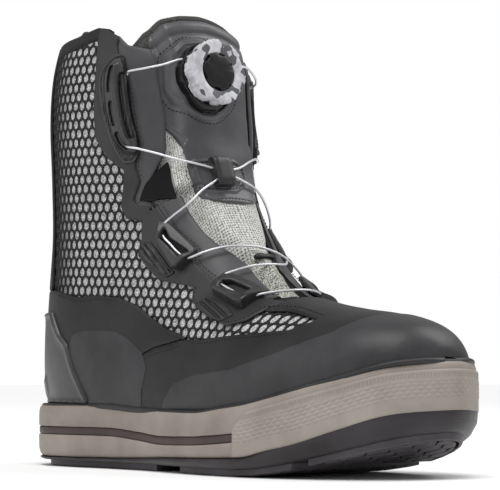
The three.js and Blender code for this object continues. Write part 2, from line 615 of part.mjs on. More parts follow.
// Upper and its overlays
function buildUpper() {
  const throat = throatSolid(0);
  const aboveBed = sidePrism(soleProfile(BED, GAP, FAR_UP));
  const upper = form.upper.subtract(form.inside).intersect(aboveBed)
    .subtract(aboveCollar).subtract(throat);
  addPiece('upper', upper, finish(COLOURS.upper, 0.8));

  const rimClear = sidePrism(soleProfile(RIM, -OVERLAY_TUCK, FAR_UP));
  const trimmed = solid => solid.intersect(rimClear).subtract(aboveCollar).subtract(throatSolid(GAP));
  const skinShell = trimmed(form.skinOut.subtract(form.skinIn));
  const overlayShell = trimmed(form.overlayOut.subtract(form.overlayIn));

  const skinOutline = [
    ...placed(SKIN_FRONT), ...placed(SKIN_LOW).reverse(), [along(SKIN_BACK), up(SKIN_FRONT[0][1])],
  ];
  const underlap = inset(skinOutline, -UNDERLAP);
  const eyestay = inset([
    ...placed(SKIN_FRONT.slice(0, VAMP_START)), ...placed(EYESTAY_FRONT).reverse(),
    [along(EYESTAY_FRONT[0][0]), up(ABOVE)], [along(SKIN_FRONT[0][0]), up(ABOVE)],
  ], GAP / 2);
  for (const [side, half] of [['outer', outerHalf], ['inner', innerHalf]]) {
    const skin = skinShell.intersect(sidePrism(underlap, ...half));
    addPiece(`honeycomb_skin_${side}`, skin, finish(COLOURS.skin, 0.6));
    const stay = overlayShell.intersect(sidePrism(eyestay, ...half));
    addPiece(`eyestay_${side}`, stay, finish(COLOURS.overlay, 0.65));
  }

  const backUp = SKIN_LOW[0][1];
  const counterOutline = inset([
    [along(BEHIND), up(BELOW)], ...placed(RAND_SEAM), ...placed(SKIN_LOW.slice(0, COUNTER_END)).reverse(),
    [along(BEHIND), up(backUp)],
  ], GAP / 2);
  const counter = overlayShell.intersect(sidePrism(counterOutline));
  addPiece('heel_counter', counter, finish(COLOURS.overlay, 0.7));

  const vampOutline = inset([
    ...placed(RAND_SEAM), ...placed(SKIN_LOW.slice(COUNTER_END - 1)),
    ...placed(SKIN_FRONT.slice(VAMP_START - 1)).reverse(), ...placed(VAMP_TOP), [along(AHEAD), up(BELOW)],
    [along(RAND_SEAM[0][0]), up(BELOW)],
  ], GAP / 2);
  addPiece('vamp', overlayShell.intersect(sidePrism(vampOutline)), finish(COLOURS.overlay, 0.65));

  const backOutline = inset([
    [along(BEHIND), up(backUp)], [along(SKIN_BACK), up(backUp)], [along(SKIN_BACK), up(ABOVE)],
    [along(BEHIND), up(ABOVE)],
  ], GAP / 2);
  addPiece('back_panel', overlayShell.intersect(sidePrism(backOutline)), finish(COLOURS.overlay, 0.75));

  const aboveWelt = sidePrism(soleProfile(RIM, 2 * GAP + WELT_HEIGHT, FAR_UP));
  const capHeights = [CAP_EDGE[CAP_EDGE.length - 1][1], CAP_EDGE[0][1]];
  const capEnds = capHeights.map(height => [along(AHEAD), up(height)]);
  const capOutline = [...placed(CAP_EDGE), ...capEnds];
  const cap = patch(GAP, GAP + FILM_WALL, capOutline).intersect(aboveWelt);
  addPiece('toe_cap', cap, finish(COLOURS.film, 0.45));
  const clip = patch(GAP, GAP + CLIP_WALL, placed(CLIP_EDGE)).intersect(aboveWelt);
  addPiece('heel_clip', clip, finish(COLOURS.clip, 0.4));
}

// Tongue: a padded slab under the flaps that swells up between them. The swelling starts
// between two sections and grows over a run inwards from the flaps.
const CROWN_SECTIONS = [8.0, 9.4];
const CROWN_RUN = 9;
function tongueOffset(section, turn) {
  const x = Math.abs(formSurface(section, turn).x);
  const edge = throatWidth(section);
  const open = THREE.MathUtils.smoothstep(section, ...CROWN_SECTIONS);
  const inside = THREE.MathUtils.smoothstep(edge - TONGUE_MARGIN - x, 0, CROWN_RUN);
  return UPPER_IN - TONGUE_CLEARANCE + TONGUE_CROWN * open * inside;
}

// Half width of the tongue in half turns of the form, at its sections
const TONGUE_WIDTHS = [
  [7.3, 0.13], [8.6, 0.17], [10, 0.21], [11, 0.27], [12.5, 0.33], [14, 0.36], [16, 0.36], [19, 0.34],
  [22.6, 0.31],
];
const TONGUE_SECTIONS = 11;
const TONGUE_STEPS = 6;

// Half width of the smooth panel on the tongue, in half turns, at its sections
const PANEL_WIDTHS = [[12.7, 0.10], [13.6, 0.15], [15.5, 0.20], [21.4, 0.205]];
const PANEL_SECTIONS = 6;

function halfTurnAt(widths, section) {
  const next = Math.max(1, widths.findIndex(row => row[0] >= section - 1e-6));
  const [from, fromHalf] = widths[next - 1];
  const [to, toHalf] = widths[next];
  return THREE.MathUtils.lerp(fromHalf, toHalf, (section - from) / (to - from));
}

// A layer of the tongue between two heights over its outer face
function tongueSolid(low, high) {
  const first = TONGUE_WIDTHS[0][0];
  const last = TONGUE_WIDTHS[TONGUE_WIDTHS.length - 1][0];
  const rings = Array.from({ length: TONGUE_SECTIONS }, (_, index) => {
    const section = first + (last - first) * index / (TONGUE_SECTIONS - 1);
    const half = halfTurnAt(TONGUE_WIDTHS, section);
    const row = depth => Array.from({ length: TONGUE_STEPS + 1 }, (_unused, k) => {
      const turn = 1 - half + 2 * half * k / TONGUE_STEPS;
      return formPoint(section, turn, tongueOffset(section, turn) + depth);
    });
    return [...row(high), ...row(low).reverse()];
  });
  return loft(rings);
}

// A body through the tongue that marks out its smooth panel
function panelArea() {
  const first = PANEL_WIDTHS[0][0];
  const last = PANEL_WIDTHS[PANEL_WIDTHS.length - 1][0];
  const rings = Array.from({ length: PANEL_SECTIONS }, (_, index) => {
    const section = first + (last - first) * index / (PANEL_SECTIONS - 1);
    const half = halfTurnAt(PANEL_WIDTHS, section);
    const left = formPoint(section, 1 - half);
    const right = formPoint(section, 1 + half);
    const out = formNormal(section, 1).multiplyScalar(3 * TONGUE_THICKNESS);
    const corner = (point, sign) => point.clone().addScaledVector(out, sign);
    return [corner(left, 1), corner(right, 1), corner(right, -1), corner(left, -1)];
  });
  return loft(rings);
}

function buildTongue() {
  const flaps = formSolid(UPPER_OUT + GAP).subtract(formSolid(UPPER_IN - GAP)).subtract(throatSolid(-GAP));
  const tongue = tongueSolid(-TONGUE_THICKNESS, 0).subtract(flaps);
  addPiece('tongue', tongue, finish(COLOURS.tongue, 0.95));
  const panel = tongueSolid(-PANEL_WALL, GAP + PANEL_WALL).subtract(tongueSolid(-TONGUE_THICKNESS, GAP))
    .subtract(flaps).intersect(panelArea());
  addPiece('tongue_panel', panel, finish(COLOURS.panel, 0.5));
}

// A frame on the form: z outwards, y up the boot, x across
function seatAt({ section, turn }, offset) {
  const origin = formPoint(section, turn, offset);
  const z = formNormal(section, turn);
  const step = 0.3;
  const ahead = formSurface(section + step, turn).sub(formSurface(section - step, turn));
  const x = new THREE.Vector3().crossVectors(ahead, z).normalize();
  const y = new THREE.Vector3().crossVectors(z, x);
  return new THREE.Matrix4().makeBasis(x, y, z).setPosition(origin);
}

// A block seated on the tongue, its sizes across, along and out
function blockAt(place, [across, lengthwise, out], lift) {
  const seat = seatAt(place, tongueOffset(place.section, place.turn) + lift);
  const block = new THREE.BoxGeometry(across, lengthwise, out + SINK);
  block.translate(0, 0, (out - SINK) / 2);
  block.applyMatrix4(seat);
  return solidOf(block);
}

function discAt(seat, radius, low, high, sides, topRadius = radius) {
  const disc = new THREE.CylinderGeometry(topRadius, radius, high - low, sides);
  disc.rotateX(Math.PI / 2);
  disc.translate(0, 0, (low + high) / 2);
  disc.applyMatrix4(seat);
  return solidOf(disc);
}

function buildDial(panelTop) {
  const seat = seatAt(DIAL, tongueOffset(DIAL.section, DIAL.turn) + 2 * GAP + PANEL_WALL);
  const radius = DIAL_DIAMETER / 2;
  const base = discAt(seat, radius + DIAL_FLARE, -SINK, DIAL_BASE_HEIGHT, DIAL_SIDES, radius - DIAL_FLARE)
    .subtract(panelTop);
  const knobLow = DIAL_BASE_HEIGHT + GAP;
  const knobTop = knobLow + DIAL_KNOB_HEIGHT;
  const notches = Array.from({ length: DIAL_TEETH }, (_, tooth) => {
    const angle = 2 * Math.PI * (tooth + 0.5) / DIAL_TEETH;
    const cutter = new THREE.CylinderGeometry(DIAL_TOOTH, DIAL_TOOTH, 3 * DIAL_KNOB_HEIGHT, 6);
    cutter.rotateX(Math.PI / 2);
    cutter.translate(radius * Math.cos(angle), radius * Math.sin(angle), knobTop);
    cutter.applyMatrix4(seat);
    return solidOf(cutter);
  });
  const capRadius = DIAL_CAP_DIAMETER / 2;
  const capLow = knobTop - DIAL_CAP_DEPTH;
  const bore = discAt(seat, capRadius + GAP, capLow, knobTop + DIAL_CAP_DEPTH, CAP_SIDES);
  const knob = discAt(seat, radius, knobLow, knobTop, DIAL_SIDES, radius - DIAL_BEVEL)
    .subtract(joined(notches)).subtract(bore);
  addPiece('dial_knob', knob, finish(COLOURS.dial, 0.5));
  const capTop = knobTop + DIAL_CAP_RISE;
  const cap = discAt(seat, capRadius, capLow + GAP, capTop, CAP_SIDES, capRadius - DIAL_CAP_RISE);
  addPiece('dial_cap', cap, finish(COLOURS.dialDark, 0.35));
  return base;
}

// Lace: one strand in order from the outer side of the dial, through the guides, back to its
// inner side, as section, half turns and height over the form
const LACE_ROUTE = [
  { section: 19.55, turn: 0.925, lift: 3.4 },
  { section: 19.76, turn: 0.860, lift: 3.6 },
  { section: 19.82, turn: 0.780, lift: 3.2 },
  { section: 19.82, turn: 0.683, lift: 2.8 },
  { section: 19.45, turn: 0.640, lift: 2.6 },
  { section: 18.60, turn: 0.622, lift: 2.6 },
  { section: 17.70, turn: 0.640, lift: 2.6 },
  { section: 17.15, turn: 0.665, lift: 2.6 },
  { section: 16.80, turn: 0.696, lift: 2.8 },
  { section: 15.90, turn: 0.790, lift: 3.0 },
  { section: 15.00, turn: 0.880, lift: 3.0 },
  { section: 14.16, turn: 0.954, lift: 3.0 },
  { section: 13.56, turn: 1.021, lift: 3.0 },
  { section: 13.30, turn: 1.120, lift: 3.0 },
  { section: 13.20, turn: 1.200, lift: 3.2 },
  { section: 13.05, turn: 1.255, lift: 3.4 },
  { section: 12.70, turn: 1.272, lift: 3.4 },
  { section: 12.15, turn: 1.272, lift: 3.4 },
  { section: 11.60, turn: 1.250, lift: 3.4 },
  { section: 11.20, turn: 1.200, lift: 3.2 },
  { section: 10.60, turn: 1.140, lift: 2.4 },
  { section: 10.00, turn: 1.080, lift: 2.4 },
  { section: 9.80, turn: 1.000, lift: 2.8 },
  { section: 9.78, turn: 0.920, lift: 2.8 },
  { section: 9.85, turn: 0.850, lift: 3.2 },
  { section: 9.70, turn: 0.810, lift: 3.4 },
  { section: 9.35, turn: 0.802, lift: 3.4 },
  { section: 8.98, turn: 0.815, lift: 3.4 },
  { section: 8.80, turn: 0.860, lift: 3.2 },
  { section: 8.76, turn: 0.930, lift: 3.0 },
  { section: 8.80, turn: 1.000, lift: 3.0 },
  { section: 8.90, turn: 1.070, lift: 3.0 },
  { section: 8.95, turn: 1.140, lift: 3.2 },
  { section: 9.05, turn: 1.185, lift: 3.4 },
  { section: 9.40, turn: 1.198, lift: 3.4 },
  { section: 9.75, turn: 1.190, lift: 3.8 },
  { section: 10.15, turn: 1.160, lift: 4.2 },
  { section: 10.60, turn: 1.095, lift: 4.4 },
  { section: 11.00, turn: 1.010, lift: 4.2 },
  { section: 11.20, turn: 0.925, lift: 3.6 },
  { section: 11.32, turn: 0.842, lift: 3.2 },
  { section: 11.50, turn: 0.765, lift: 3.4 },
  { section: 11.90, turn: 0.733, lift: 3.4 },
  { section: 12.40, turn: 0.727, lift: 3.4 },
  { section: 12.85, turn: 0.735, lift: 3.4 },
  { section: 13.05, turn: 0.790, lift: 3.2 },
  { section: 13.20, turn: 0.870, lift: 3.4 },
  { section: 13.50, turn: 0.950, lift: 4.6 },
  { section: 14.20, turn: 1.021, lift: 4.6 },
  { section: 15.00, turn: 1.100, lift: 3.4 },
  { section: 15.90, turn: 1.200, lift: 3.0 },
  { section: 16.80, turn: 1.304, lift: 2.8 },
  { section: 17.15, turn: 1.335, lift: 2.6 },
  { section: 17.70, turn: 1.360, lift: 2.6 },
  { section: 18.60, turn: 1.378, lift: 2.6 },
  { section: 19.45, turn: 1.360, lift: 2.6 },
  { section: 19.82, turn: 1.317, lift: 2.8 },
  { section: 19.82, turn: 1.220, lift: 3.2 },
  { section: 19.76, turn: 1.110, lift: 3.6 },
  { section: 19.55, turn: 1.020, lift: 3.4 },
];

function laceSolid(radius) {
  const points = LACE_ROUTE.map(({ section, turn, lift }) => formPoint(section, turn, lift));
  const curve = new THREE.CatmullRomCurve3(points, false, 'centripetal');
  const round = Array.from({ length: LACE_SIDES }, (_, k) => {
    const angle = 2 * Math.PI * k / LACE_SIDES;
    return new THREE.Vector2(radius * Math.cos(angle), radius * Math.sin(angle));
  });
  const geometry = new THREE.ExtrudeGeometry(new THREE.Shape(round), {
    steps: LACE_ROUTE.length, bevelEnabled: false, extrudePath: curve,
  });
  return solidOf(geometry);
}

function buildLacing() {
  const panelTop = tongueSolid(-TONGUE_THICKNESS, 2 * GAP + PANEL_WALL);
  const base = buildDial(panelTop);
  const bore = laceSolid(LACE_DIAMETER / 2 + LACE_CLEARANCE);
  addPiece('dial_base', base.subtract(bore), finish(COLOURS.dialDark, 0.4));

  for (const [side, half] of [['outer', outerHalf], ['inner', innerHalf]]) {
    const plate = patch(GAP, GUIDE_HEIGHT, placed(TOP_GUIDE), half);
    addPiece(`top_guide_${side}`, plate.subtract(bore), finish(COLOURS.guide, 0.4));
    for (const [name, outline] of [['mid', MID_GUIDE], ['low', LOW_GUIDE]]) {
      const body = patch(GAP, BOX_GUIDE_HEIGHT, placed(outline), half);
      const window = patch(GUIDE_FLOOR, 2 * BOX_GUIDE_HEIGHT, shrunk(placed(outline), GUIDE_WINDOW), half);
      addPiece(`${name}_guide_${side}`, body.subtract(window).subtract(bore), finish(COLOURS.guide, 0.4));
    }
  }

  const saddle = blockAt(TONGUE_GUIDE, TONGUE_GUIDE_SIZE, 2 * GAP + PANEL_WALL).subtract(panelTop);
  addPiece('tongue_guide', saddle.subtract(bore), finish(COLOURS.guide, 0.5));
  const tab = blockAt(TAB, TAB_SIZE, GAP).subtract(tongueSolid(-TONGUE_THICKNESS, GAP));
  addPiece('webbing_tab', tab.subtract(bore), finish(COLOURS.webbing, 0.9));
  addPiece('lace', laceSolid(LACE_DIAMETER / 2), finish(COLOURS.lace, 0.35, 0.8));
}

// Pull loop: webbing from the back panel, over the collar and down inside
const LOOP_SECTIONS = [20.2, 20.9, 21.5, 22];

function buildPullLoop() {
  const leg = offset => LOOP_SECTIONS.map(section => {
    const point = formPoint(section, 0, offset);
    return [point.y, point.z];
  });
  const path = grow => {
    const outside = leg(GAP + grow);
    const inside = leg(UPPER_IN - GAP - LOOP_FLAT - grow).reverse();
    const [backY, backZ] = outside[outside.length - 1];
    const [frontY] = inside[0];
    const rise = backZ + LOOP_RISE + grow;
    const shoulder = (frontY - backY) / 4;
    return [...outside, [backY, rise - shoulder], [backY + shoulder, rise],
      [frontY - shoulder, rise], [frontY, rise - shoulder], ...inside];
  };
  const strap = sidePrism([...path(LOOP_WALL), ...path(0).reverse()], -LOOP_WIDTH / 2, LOOP_WIDTH / 2);
  addPiece('pull_loop', strap, finish(COLOURS.webbing, 0.95));
}

buildSole();
buildUpper();
buildTongue();
buildLacing();
buildPullLoop();

export default boot;
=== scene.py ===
# Wading boot, right foot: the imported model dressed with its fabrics, films, stitches, cable and rubber.
# Working lengths are millimetres, turned to metres where a mesh is made.

import json
import math

import bpy
import numpy as np
from mathutils import Matrix, Vector, kdtree

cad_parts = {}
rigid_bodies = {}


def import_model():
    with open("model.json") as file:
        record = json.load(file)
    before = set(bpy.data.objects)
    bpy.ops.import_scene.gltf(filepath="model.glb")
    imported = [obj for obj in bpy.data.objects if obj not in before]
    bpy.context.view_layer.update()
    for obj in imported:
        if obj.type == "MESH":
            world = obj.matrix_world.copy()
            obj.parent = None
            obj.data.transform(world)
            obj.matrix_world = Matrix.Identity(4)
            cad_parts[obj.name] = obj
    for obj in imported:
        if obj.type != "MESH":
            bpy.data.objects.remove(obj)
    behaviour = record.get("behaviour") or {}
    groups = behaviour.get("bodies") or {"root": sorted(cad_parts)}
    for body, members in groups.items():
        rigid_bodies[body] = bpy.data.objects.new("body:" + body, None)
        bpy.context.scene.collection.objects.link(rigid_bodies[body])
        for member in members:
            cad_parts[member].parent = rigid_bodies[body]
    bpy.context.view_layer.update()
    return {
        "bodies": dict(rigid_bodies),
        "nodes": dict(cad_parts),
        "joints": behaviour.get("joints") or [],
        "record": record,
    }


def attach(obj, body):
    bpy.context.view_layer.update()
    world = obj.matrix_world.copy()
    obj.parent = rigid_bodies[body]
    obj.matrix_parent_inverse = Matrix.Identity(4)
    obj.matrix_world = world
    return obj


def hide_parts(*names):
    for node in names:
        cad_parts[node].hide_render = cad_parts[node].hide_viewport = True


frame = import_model()
bpy.ops.object.select_all(action="DESELECT")

MM = 0.001
BACKWARDS = [0, 3, 2, 1]

# Sizes and tables of the part, in millimetres and in shares of its named sizes
LENGTH = 318.0
HEEL_BACK = 44.0
SOLE_WIDTH = 113.0
SOLE_HEIGHT = 35.0
FORM_WIDTH = 0.907 * SOLE_WIDTH
UPPER_HEIGHT = 215.0
OVERLAY_OUT = 0.0
OVERLAY_IN = -1.2
SKIN_OUT = -1.5
UPPER_OUT = -2.7
UPPER_IN = -5.3
TONGUE_DROP = 1.4
TONGUE_CROWN = 6.0

FORM = np.array([
    # topAlong topUp lowAlong lowUp outer inner waist topSquare lowSquare
    [0.975, 0.126, 0.975, 0.102, 0.020, 0.059, 0.50, 2.00, 2.00],
    [0.972, 0.149, 0.972, 0.023, 0.098, 0.166, 0.50, 2.20, 2.40],
    [0.959, 0.177, 0.959, -0.014, 0.195, 0.244, 0.50, 2.30, 2.60],
    [0.937, 0.202, 0.937, -0.042, 0.283, 0.302, 0.50, 2.35, 2.80],
    [0.899, 0.221, 0.899, -0.060, 0.371, 0.361, 0.50, 2.35, 3.00],
    [0.849, 0.235, 0.849, -0.079, 0.439, 0.410, 0.50, 2.30, 3.00],
    [0.783, 0.247, 0.783, -0.098, 0.502, 0.449, 0.50, 2.20, 3.00],
    [0.714, 0.265, 0.714, -0.112, 0.537, 0.463, 0.47, 2.10, 3.00],
    [0.642, 0.293, 0.642, -0.121, 0.537, 0.454, 0.45, 2.10, 3.00],
    [0.599, 0.326, 0.553, -0.121, 0.507, 0.439, 0.44, 2.20, 3.00],
    [0.560, 0.372, 0.462, -0.121, 0.478, 0.434, 0.44, 2.35, 3.00],
    [0.524, 0.433, 0.365, -0.121, 0.468, 0.434, 0.44, 2.50, 2.90],
    [0.494, 0.498, 0.264, -0.121, 0.463, 0.444, 0.45, 2.60, 2.70],
    [0.472, 0.558, 0.164, -0.121, 0.468, 0.459, 0.48, 2.65, 2.50],
    [0.456, 0.614, 0.066, -0.107, 0.473, 0.468, 0.50, 2.70, 2.30],
    [0.447, 0.665, 0.016, -0.023, 0.473, 0.478, 0.52, 2.70, 2.20],
    [0.440, 0.712, 0.006, 0.107, 0.478, 0.488, 0.54, 2.70, 2.10],
    [0.436, 0.758, 0.016, 0.256, 0.483, 0.498, 0.55, 2.70, 2.10],
    [0.431, 0.805, 0.035, 0.405, 0.498, 0.507, 0.55, 2.65, 2.15],
    [0.426, 0.860, 0.039, 0.572, 0.507, 0.512, 0.54, 2.60, 2.20],
    [0.420, 0.926, 0.039, 0.744, 0.517, 0.517, 0.52, 2.60, 2.20],
    [0.410, 0.967, 0.049, 0.879, 0.507, 0.498, 0.50, 2.50, 2.20],
    [0.393, 1.014, 0.069, 1.000, 0.478, 0.454, 0.50, 2.40, 2.20],
    [0.381, 1.056, 0.079, 1.047, 0.459, 0.429, 0.50, 2.40, 2.20],
])
LAST_SECTION = len(FORM) - 1
SOLE = np.array([
    # along rim stripe bed under ground
    [0.000, 1.010, 0.600, 0.49, 0.170, 0.035],
    [0.091, 1.010, 0.600, 0.47, 0.160, 0.000],
    [0.286, 1.025, 0.600, 0.45, 0.177, 0.000],
    [0.377, 0.980, 0.550, 0.44, 0.200, 0.000],
    [0.459, 0.945, 0.500, 0.42, 0.230, 0.000],
    [0.566, 0.937, 0.515, 0.42, 0.257, 0.000],
    [0.651, 1.015, 0.560, 0.44, 0.280, 0.000],
    [0.698, 1.065, 0.600, 0.47, 0.294, 0.017],
    [0.761, 1.185, 0.660, 0.56, 0.410, 0.090],
    [0.805, 1.285, 0.700, 0.66, 0.490, 0.170],
    [0.884, 1.480, 0.800, 0.88, 0.726, 0.350],
    [0.953, 1.670, 0.900, 1.05, 0.940, 0.540],
    [1.000, 1.730, 0.950, 1.13, 1.000, 0.630],
])
RIM, STRIPE, BED, UNDER, GROUND = 1, 2, 3, 4, 5
OUTLINE = np.array([
    [0.000, 0.000], [0.019, 0.230], [0.082, 0.363], [0.173, 0.398], [0.283, 0.389], [0.409, 0.416],
    [0.519, 0.487], [0.629, 0.531], [0.739, 0.520], [0.849, 0.438], [0.940, 0.275], [0.991, -0.035],
    [0.953, -0.283], [0.868, -0.425], [0.755, -0.469], [0.645, -0.451], [0.519, -0.389], [0.393, -0.336],
    [0.283, -0.336], [0.173, -0.372], [0.082, -0.345], [0.019, -0.221],
])
THROAT = np.array([
    [7.85, 0.135], [9.2, 0.128], [10.05, 0.120], [10.54, 0.160], [11.25, 0.228], [11.8, 0.260],
    [12.68, 0.285], [13.6, 0.296], [14.1, 0.395], [15.0, 0.405], [15.5, 0.370], [16.0, 0.328],
    [17.6, 0.326], [19.7, 0.350], [21.0, 0.368], [23.0, 0.370],
])
SKIN_FRONT = [
    (0.277, 1.010), (0.283, 0.879), (0.276, 0.780), (0.280, 0.707), (0.310, 0.651), (0.341, 0.619),
    (0.339, 0.572), (0.333, 0.526), (0.345, 0.492), (0.380, 0.483), (0.383, 0.433), (0.377, 0.394),
    (0.408, 0.353), (0.432, 0.326), (0.509, 0.308), (0.516, 0.267), (0.559, 0.232), (0.613, 0.205),
    (0.648, 0.220), (0.664, 0.242), (0.704, 0.242), (0.739, 0.233), (0.788, 0.217),
]
SKIN_LOW = [
    (0.113, 0.316), (0.148, 0.312), (0.211, 0.293), (0.283, 0.294), (0.333, 0.287), (0.381, 0.265),
    (0.421, 0.232), (0.463, 0.203), (0.519, 0.181), (0.560, 0.173), (0.648, 0.184), (0.758, 0.194),
]
EYESTAY_FRONT = [
    (0.324, 1.010), (0.325, 0.952), (0.345, 0.870), (0.357, 0.804), (0.366, 0.721), (0.369, 0.665),
    (0.364, 0.628), (0.373, 0.589), (0.360, 0.539), (0.370, 0.524), (0.404, 0.527), (0.447, 0.454),
    (0.492, 0.401), (0.498, 0.371), (0.539, 0.326), (0.607, 0.281), (0.648, 0.275), (0.673, 0.268),
]
RAND_SEAM = [
    (0.387, -0.100), (0.387, 0.033), (0.394, 0.112), (0.402, 0.138), (0.437, 0.155), (0.468, 0.162),
    (0.506, 0.173),
]
CAP_EDGE = [
    (0.440, -0.060), (0.459, 0.016), (0.491, 0.063), (0.544, 0.084), (0.656, 0.096), (0.750, 0.134),
    (0.839, 0.182), (0.876, 0.228), (0.880, 0.320),
]
CLIP_EDGE = [
    (-0.050, 0.256), (0.124, 0.256), (0.158, 0.195), (0.184, 0.167), (0.204, 0.096), (0.229, 0.025),
    (0.235, -0.100), (-0.050, -0.100),
]
COLLAR = [
    (-0.060, 0.986), (0.138, 0.986), (0.208, 0.991), (0.267, 1.007), (0.296, 1.000), (0.321, 0.981),
    (0.343, 0.953), (0.377, 0.942), (0.530, 0.940),
]
TONGUE_WIDTHS = np.array([
    [7.3, 0.13], [8.6, 0.17], [10, 0.21], [11, 0.27], [12.5, 0.33], [14, 0.36], [16, 0.36], [19, 0.34],
    [22.6, 0.31],
])


def along(share):
    return share * LENGTH - HEEL_BACK


def up(share):
    return SOLE_HEIGHT + share * UPPER_HEIGHT


def placed(outline):
    """An outline in shares, as millimetres along and up."""
    return [(along(a), up(u)) for a, u in outline]


# The form of the boot, the same as in the part's source
def through(t, before, here, after, beyond):
    """A place between here and after on the smooth curve through four places."""
    return 0.5 * (2 * here + (after - before) * t
                  + (2 * before - 5 * here + 4 * after - beyond) * t ** 2
                  + (3 * here - before - 3 * after + beyond) * t ** 3)


def form_row(section):
    s = np.clip(section, 0, LAST_SECTION)
    row = np.minimum(np.floor(s).astype(int), LAST_SECTION - 1)
    t = (s - row)[..., None]
    rows = np.vstack([2 * FORM[0] - FORM[1], FORM, 2 * FORM[-1] - FORM[-2]])
    return through(t, *(rows[row + k] for k in range(4)))


def form_surface(section, turn):
    section, turn = np.broadcast_arrays(np.asarray(section, float), np.asarray(turn, float))
    row = form_row(section)
    top_along, top_up, low_along, low_up, outer, inner, waist, top_square, low_square = np.moveaxis(row, -1, 0)
    wrapped = np.mod(turn, 2)
    side = np.where(wrapped < 1, 1.0, -1.0)
    angle = math.pi * np.where(wrapped < 1, wrapped, 2 - wrapped)
    above = angle > math.pi / 2
    square = 2 / np.where(above, top_square, low_square)
    rise = np.abs(np.cos(angle)) ** square
    reach = np.abs(np.sin(angle)) ** square
    share = np.where(above, waist + (1 - waist) * rise, waist * (1 - rise))
    return np.stack([
        side * reach * FORM_WIDTH * np.where(side > 0, outer, inner),
        along(low_along + (top_along - low_along) * share),
        up(low_up + (top_up - low_up) * share),
    ], -1)


def unit(vectors):
    return vectors / np.maximum(np.linalg.norm(vectors, axis=-1, keepdims=True), 1e-9)


def form_normal(section, turn):
    step = 0.02
    s = np.clip(section, step, LAST_SECTION - step)
    lengthwise = form_surface(s + step, turn) - form_surface(s - step, turn)
    across = form_surface(s, turn + step) - form_surface(s, turn - step)
    return unit(np.cross(across, lengthwise))


def form_point(section, turn, offset=0.0):
    section = np.asarray(section, float)
    turn = np.asarray(turn, float)
    return form_surface(section, turn) + form_normal(section, turn) * np.asarray(offset, float)[..., None]


def smooth(value, low, high):
    t = np.clip((value - low) / (high - low), 0, 1)
    return t * t * (3 - 2 * t)


def rounded(depth, radius):
    """Rises from 0 at an edge to 1 along a quarter of a circle."""
    return np.sqrt(np.clip(1 - (1 - np.clip(depth / radius, 0, 1)) ** 2, 0, 1))


def swell(value, middle, width):
    """1 at the middle, falling softly to 0 on both sides of it."""
    return np.exp(-((value - middle) / width) ** 2)


def segment_distance(flat, start, end):
    """Distance from each place in side view to a straight piece of line."""
    run = np.subtract(end, start, dtype=float)
    t = np.clip(((flat - start) @ run) / max(run @ run, 1e-9), 0, 1)
    return np.hypot(flat[..., 0] - start[0] - t * run[0], flat[..., 1] - start[1] - t * run[1])


def run_along(path):
    """How far along a path each of its places lies."""
    return np.concatenate([[0], np.cumsum(np.linalg.norm(np.diff(path, axis=0), axis=1))])


def hermite(t, start, leaving, end, arriving):
    """A smooth step between two values with given slopes at both ends."""
    return ((2 * t ** 3 - 3 * t ** 2 + 1) * start + (t ** 3 - 2 * t ** 2 + t) * leaving
            + (3 * t ** 2 - 2 * t ** 3) * end + (t ** 3 - t ** 2) * arriving)


def throat_width(section):
    return FORM_WIDTH * np.interp(section, THROAT[:, 0], THROAT[:, 1])


def tongue_offset(section, turn):
    x = np.abs(form_surface(section, turn)[..., 0])
    opened = smooth(np.asarray(section, float), 8.0, 9.4)
    inside = smooth(throat_width(section) - 3.0 - x, 0, 9)
    return UPPER_IN - TONGUE_DROP + TONGUE_CROWN * opened * inside


def outline_depth(points, outline):
    """How far each point lies inside an outline in side view, negative outside."""
    corners = np.asarray(outline, float)
    after = np.roll(corners, -1, axis=0)
    flat = points[..., 1:3]
    nearest = np.full(flat.shape[:-1], 1e9)
    inside = np.zeros(flat.shape[:-1], bool)
    for (ay, az), (by, bz) in zip(corners, after):
        nearest = np.minimum(nearest, segment_distance(flat, (ay, az), (by, bz)))
        crosses = (az > flat[..., 1]) != (bz > flat[..., 1])
        reach = ay + (flat[..., 1] - az) / (bz - az if bz != az else 1e-9) * (by - ay)
        inside ^= crosses & (flat[..., 0] < reach)
    return np.where(inside, nearest, -nearest)


def collar_depth(points):
    """How far a point lies under the collar line."""
    line = np.array(placed(COLLAR))
    return np.interp(points[..., 1], line[:, 0], line[:, 1]) - points[..., 2]


def sole_height(y, column):
    """Height of the sole at a place along it, level where its table is level."""
    share = np.clip((np.asarray(y, float) + HEEL_BACK) / LENGTH, 0, 1)
    x, h = SOLE[:, 0], SOLE[:, column]
    rise = np.diff(h) / np.diff(x)
    before = np.concatenate([rise[:1], rise])
    after = np.concatenate([rise, rise[-1:]])
    total = before + after
    slope = np.where(before * after <= 0, 0, 2 * before * after / np.where(total == 0, 1, total))
    k = np.clip(np.searchsorted(x, share) - 1, 0, len(x) - 2)
    span = x[k + 1] - x[k]
    t = (share - x[k]) / span
    return SOLE_HEIGHT * hermite(t, h[k], span * slope[k], h[k + 1], span * slope[k + 1])


# Meshes and finished pieces
def new_piece(name, points, faces, smooth_angle=35.0):
    mesh = bpy.data.meshes.new(name)
    mesh.from_pydata((np.asarray(points) * MM).tolist(), [], [list(map(int, face)) for face in faces])
    mesh.validate()
    piece = bpy.data.objects.new(name, mesh)
    bpy.context.scene.collection.objects.link(piece)
    choose(piece)
    bpy.ops.object.shade_smooth_by_angle(angle=math.radians(smooth_angle))
    return piece


def choose(*pieces):
    bpy.ops.object.select_all(action="DESELECT")
    for piece in pieces:
        piece.select_set(True)
    bpy.context.view_layer.objects.active = pieces[0]


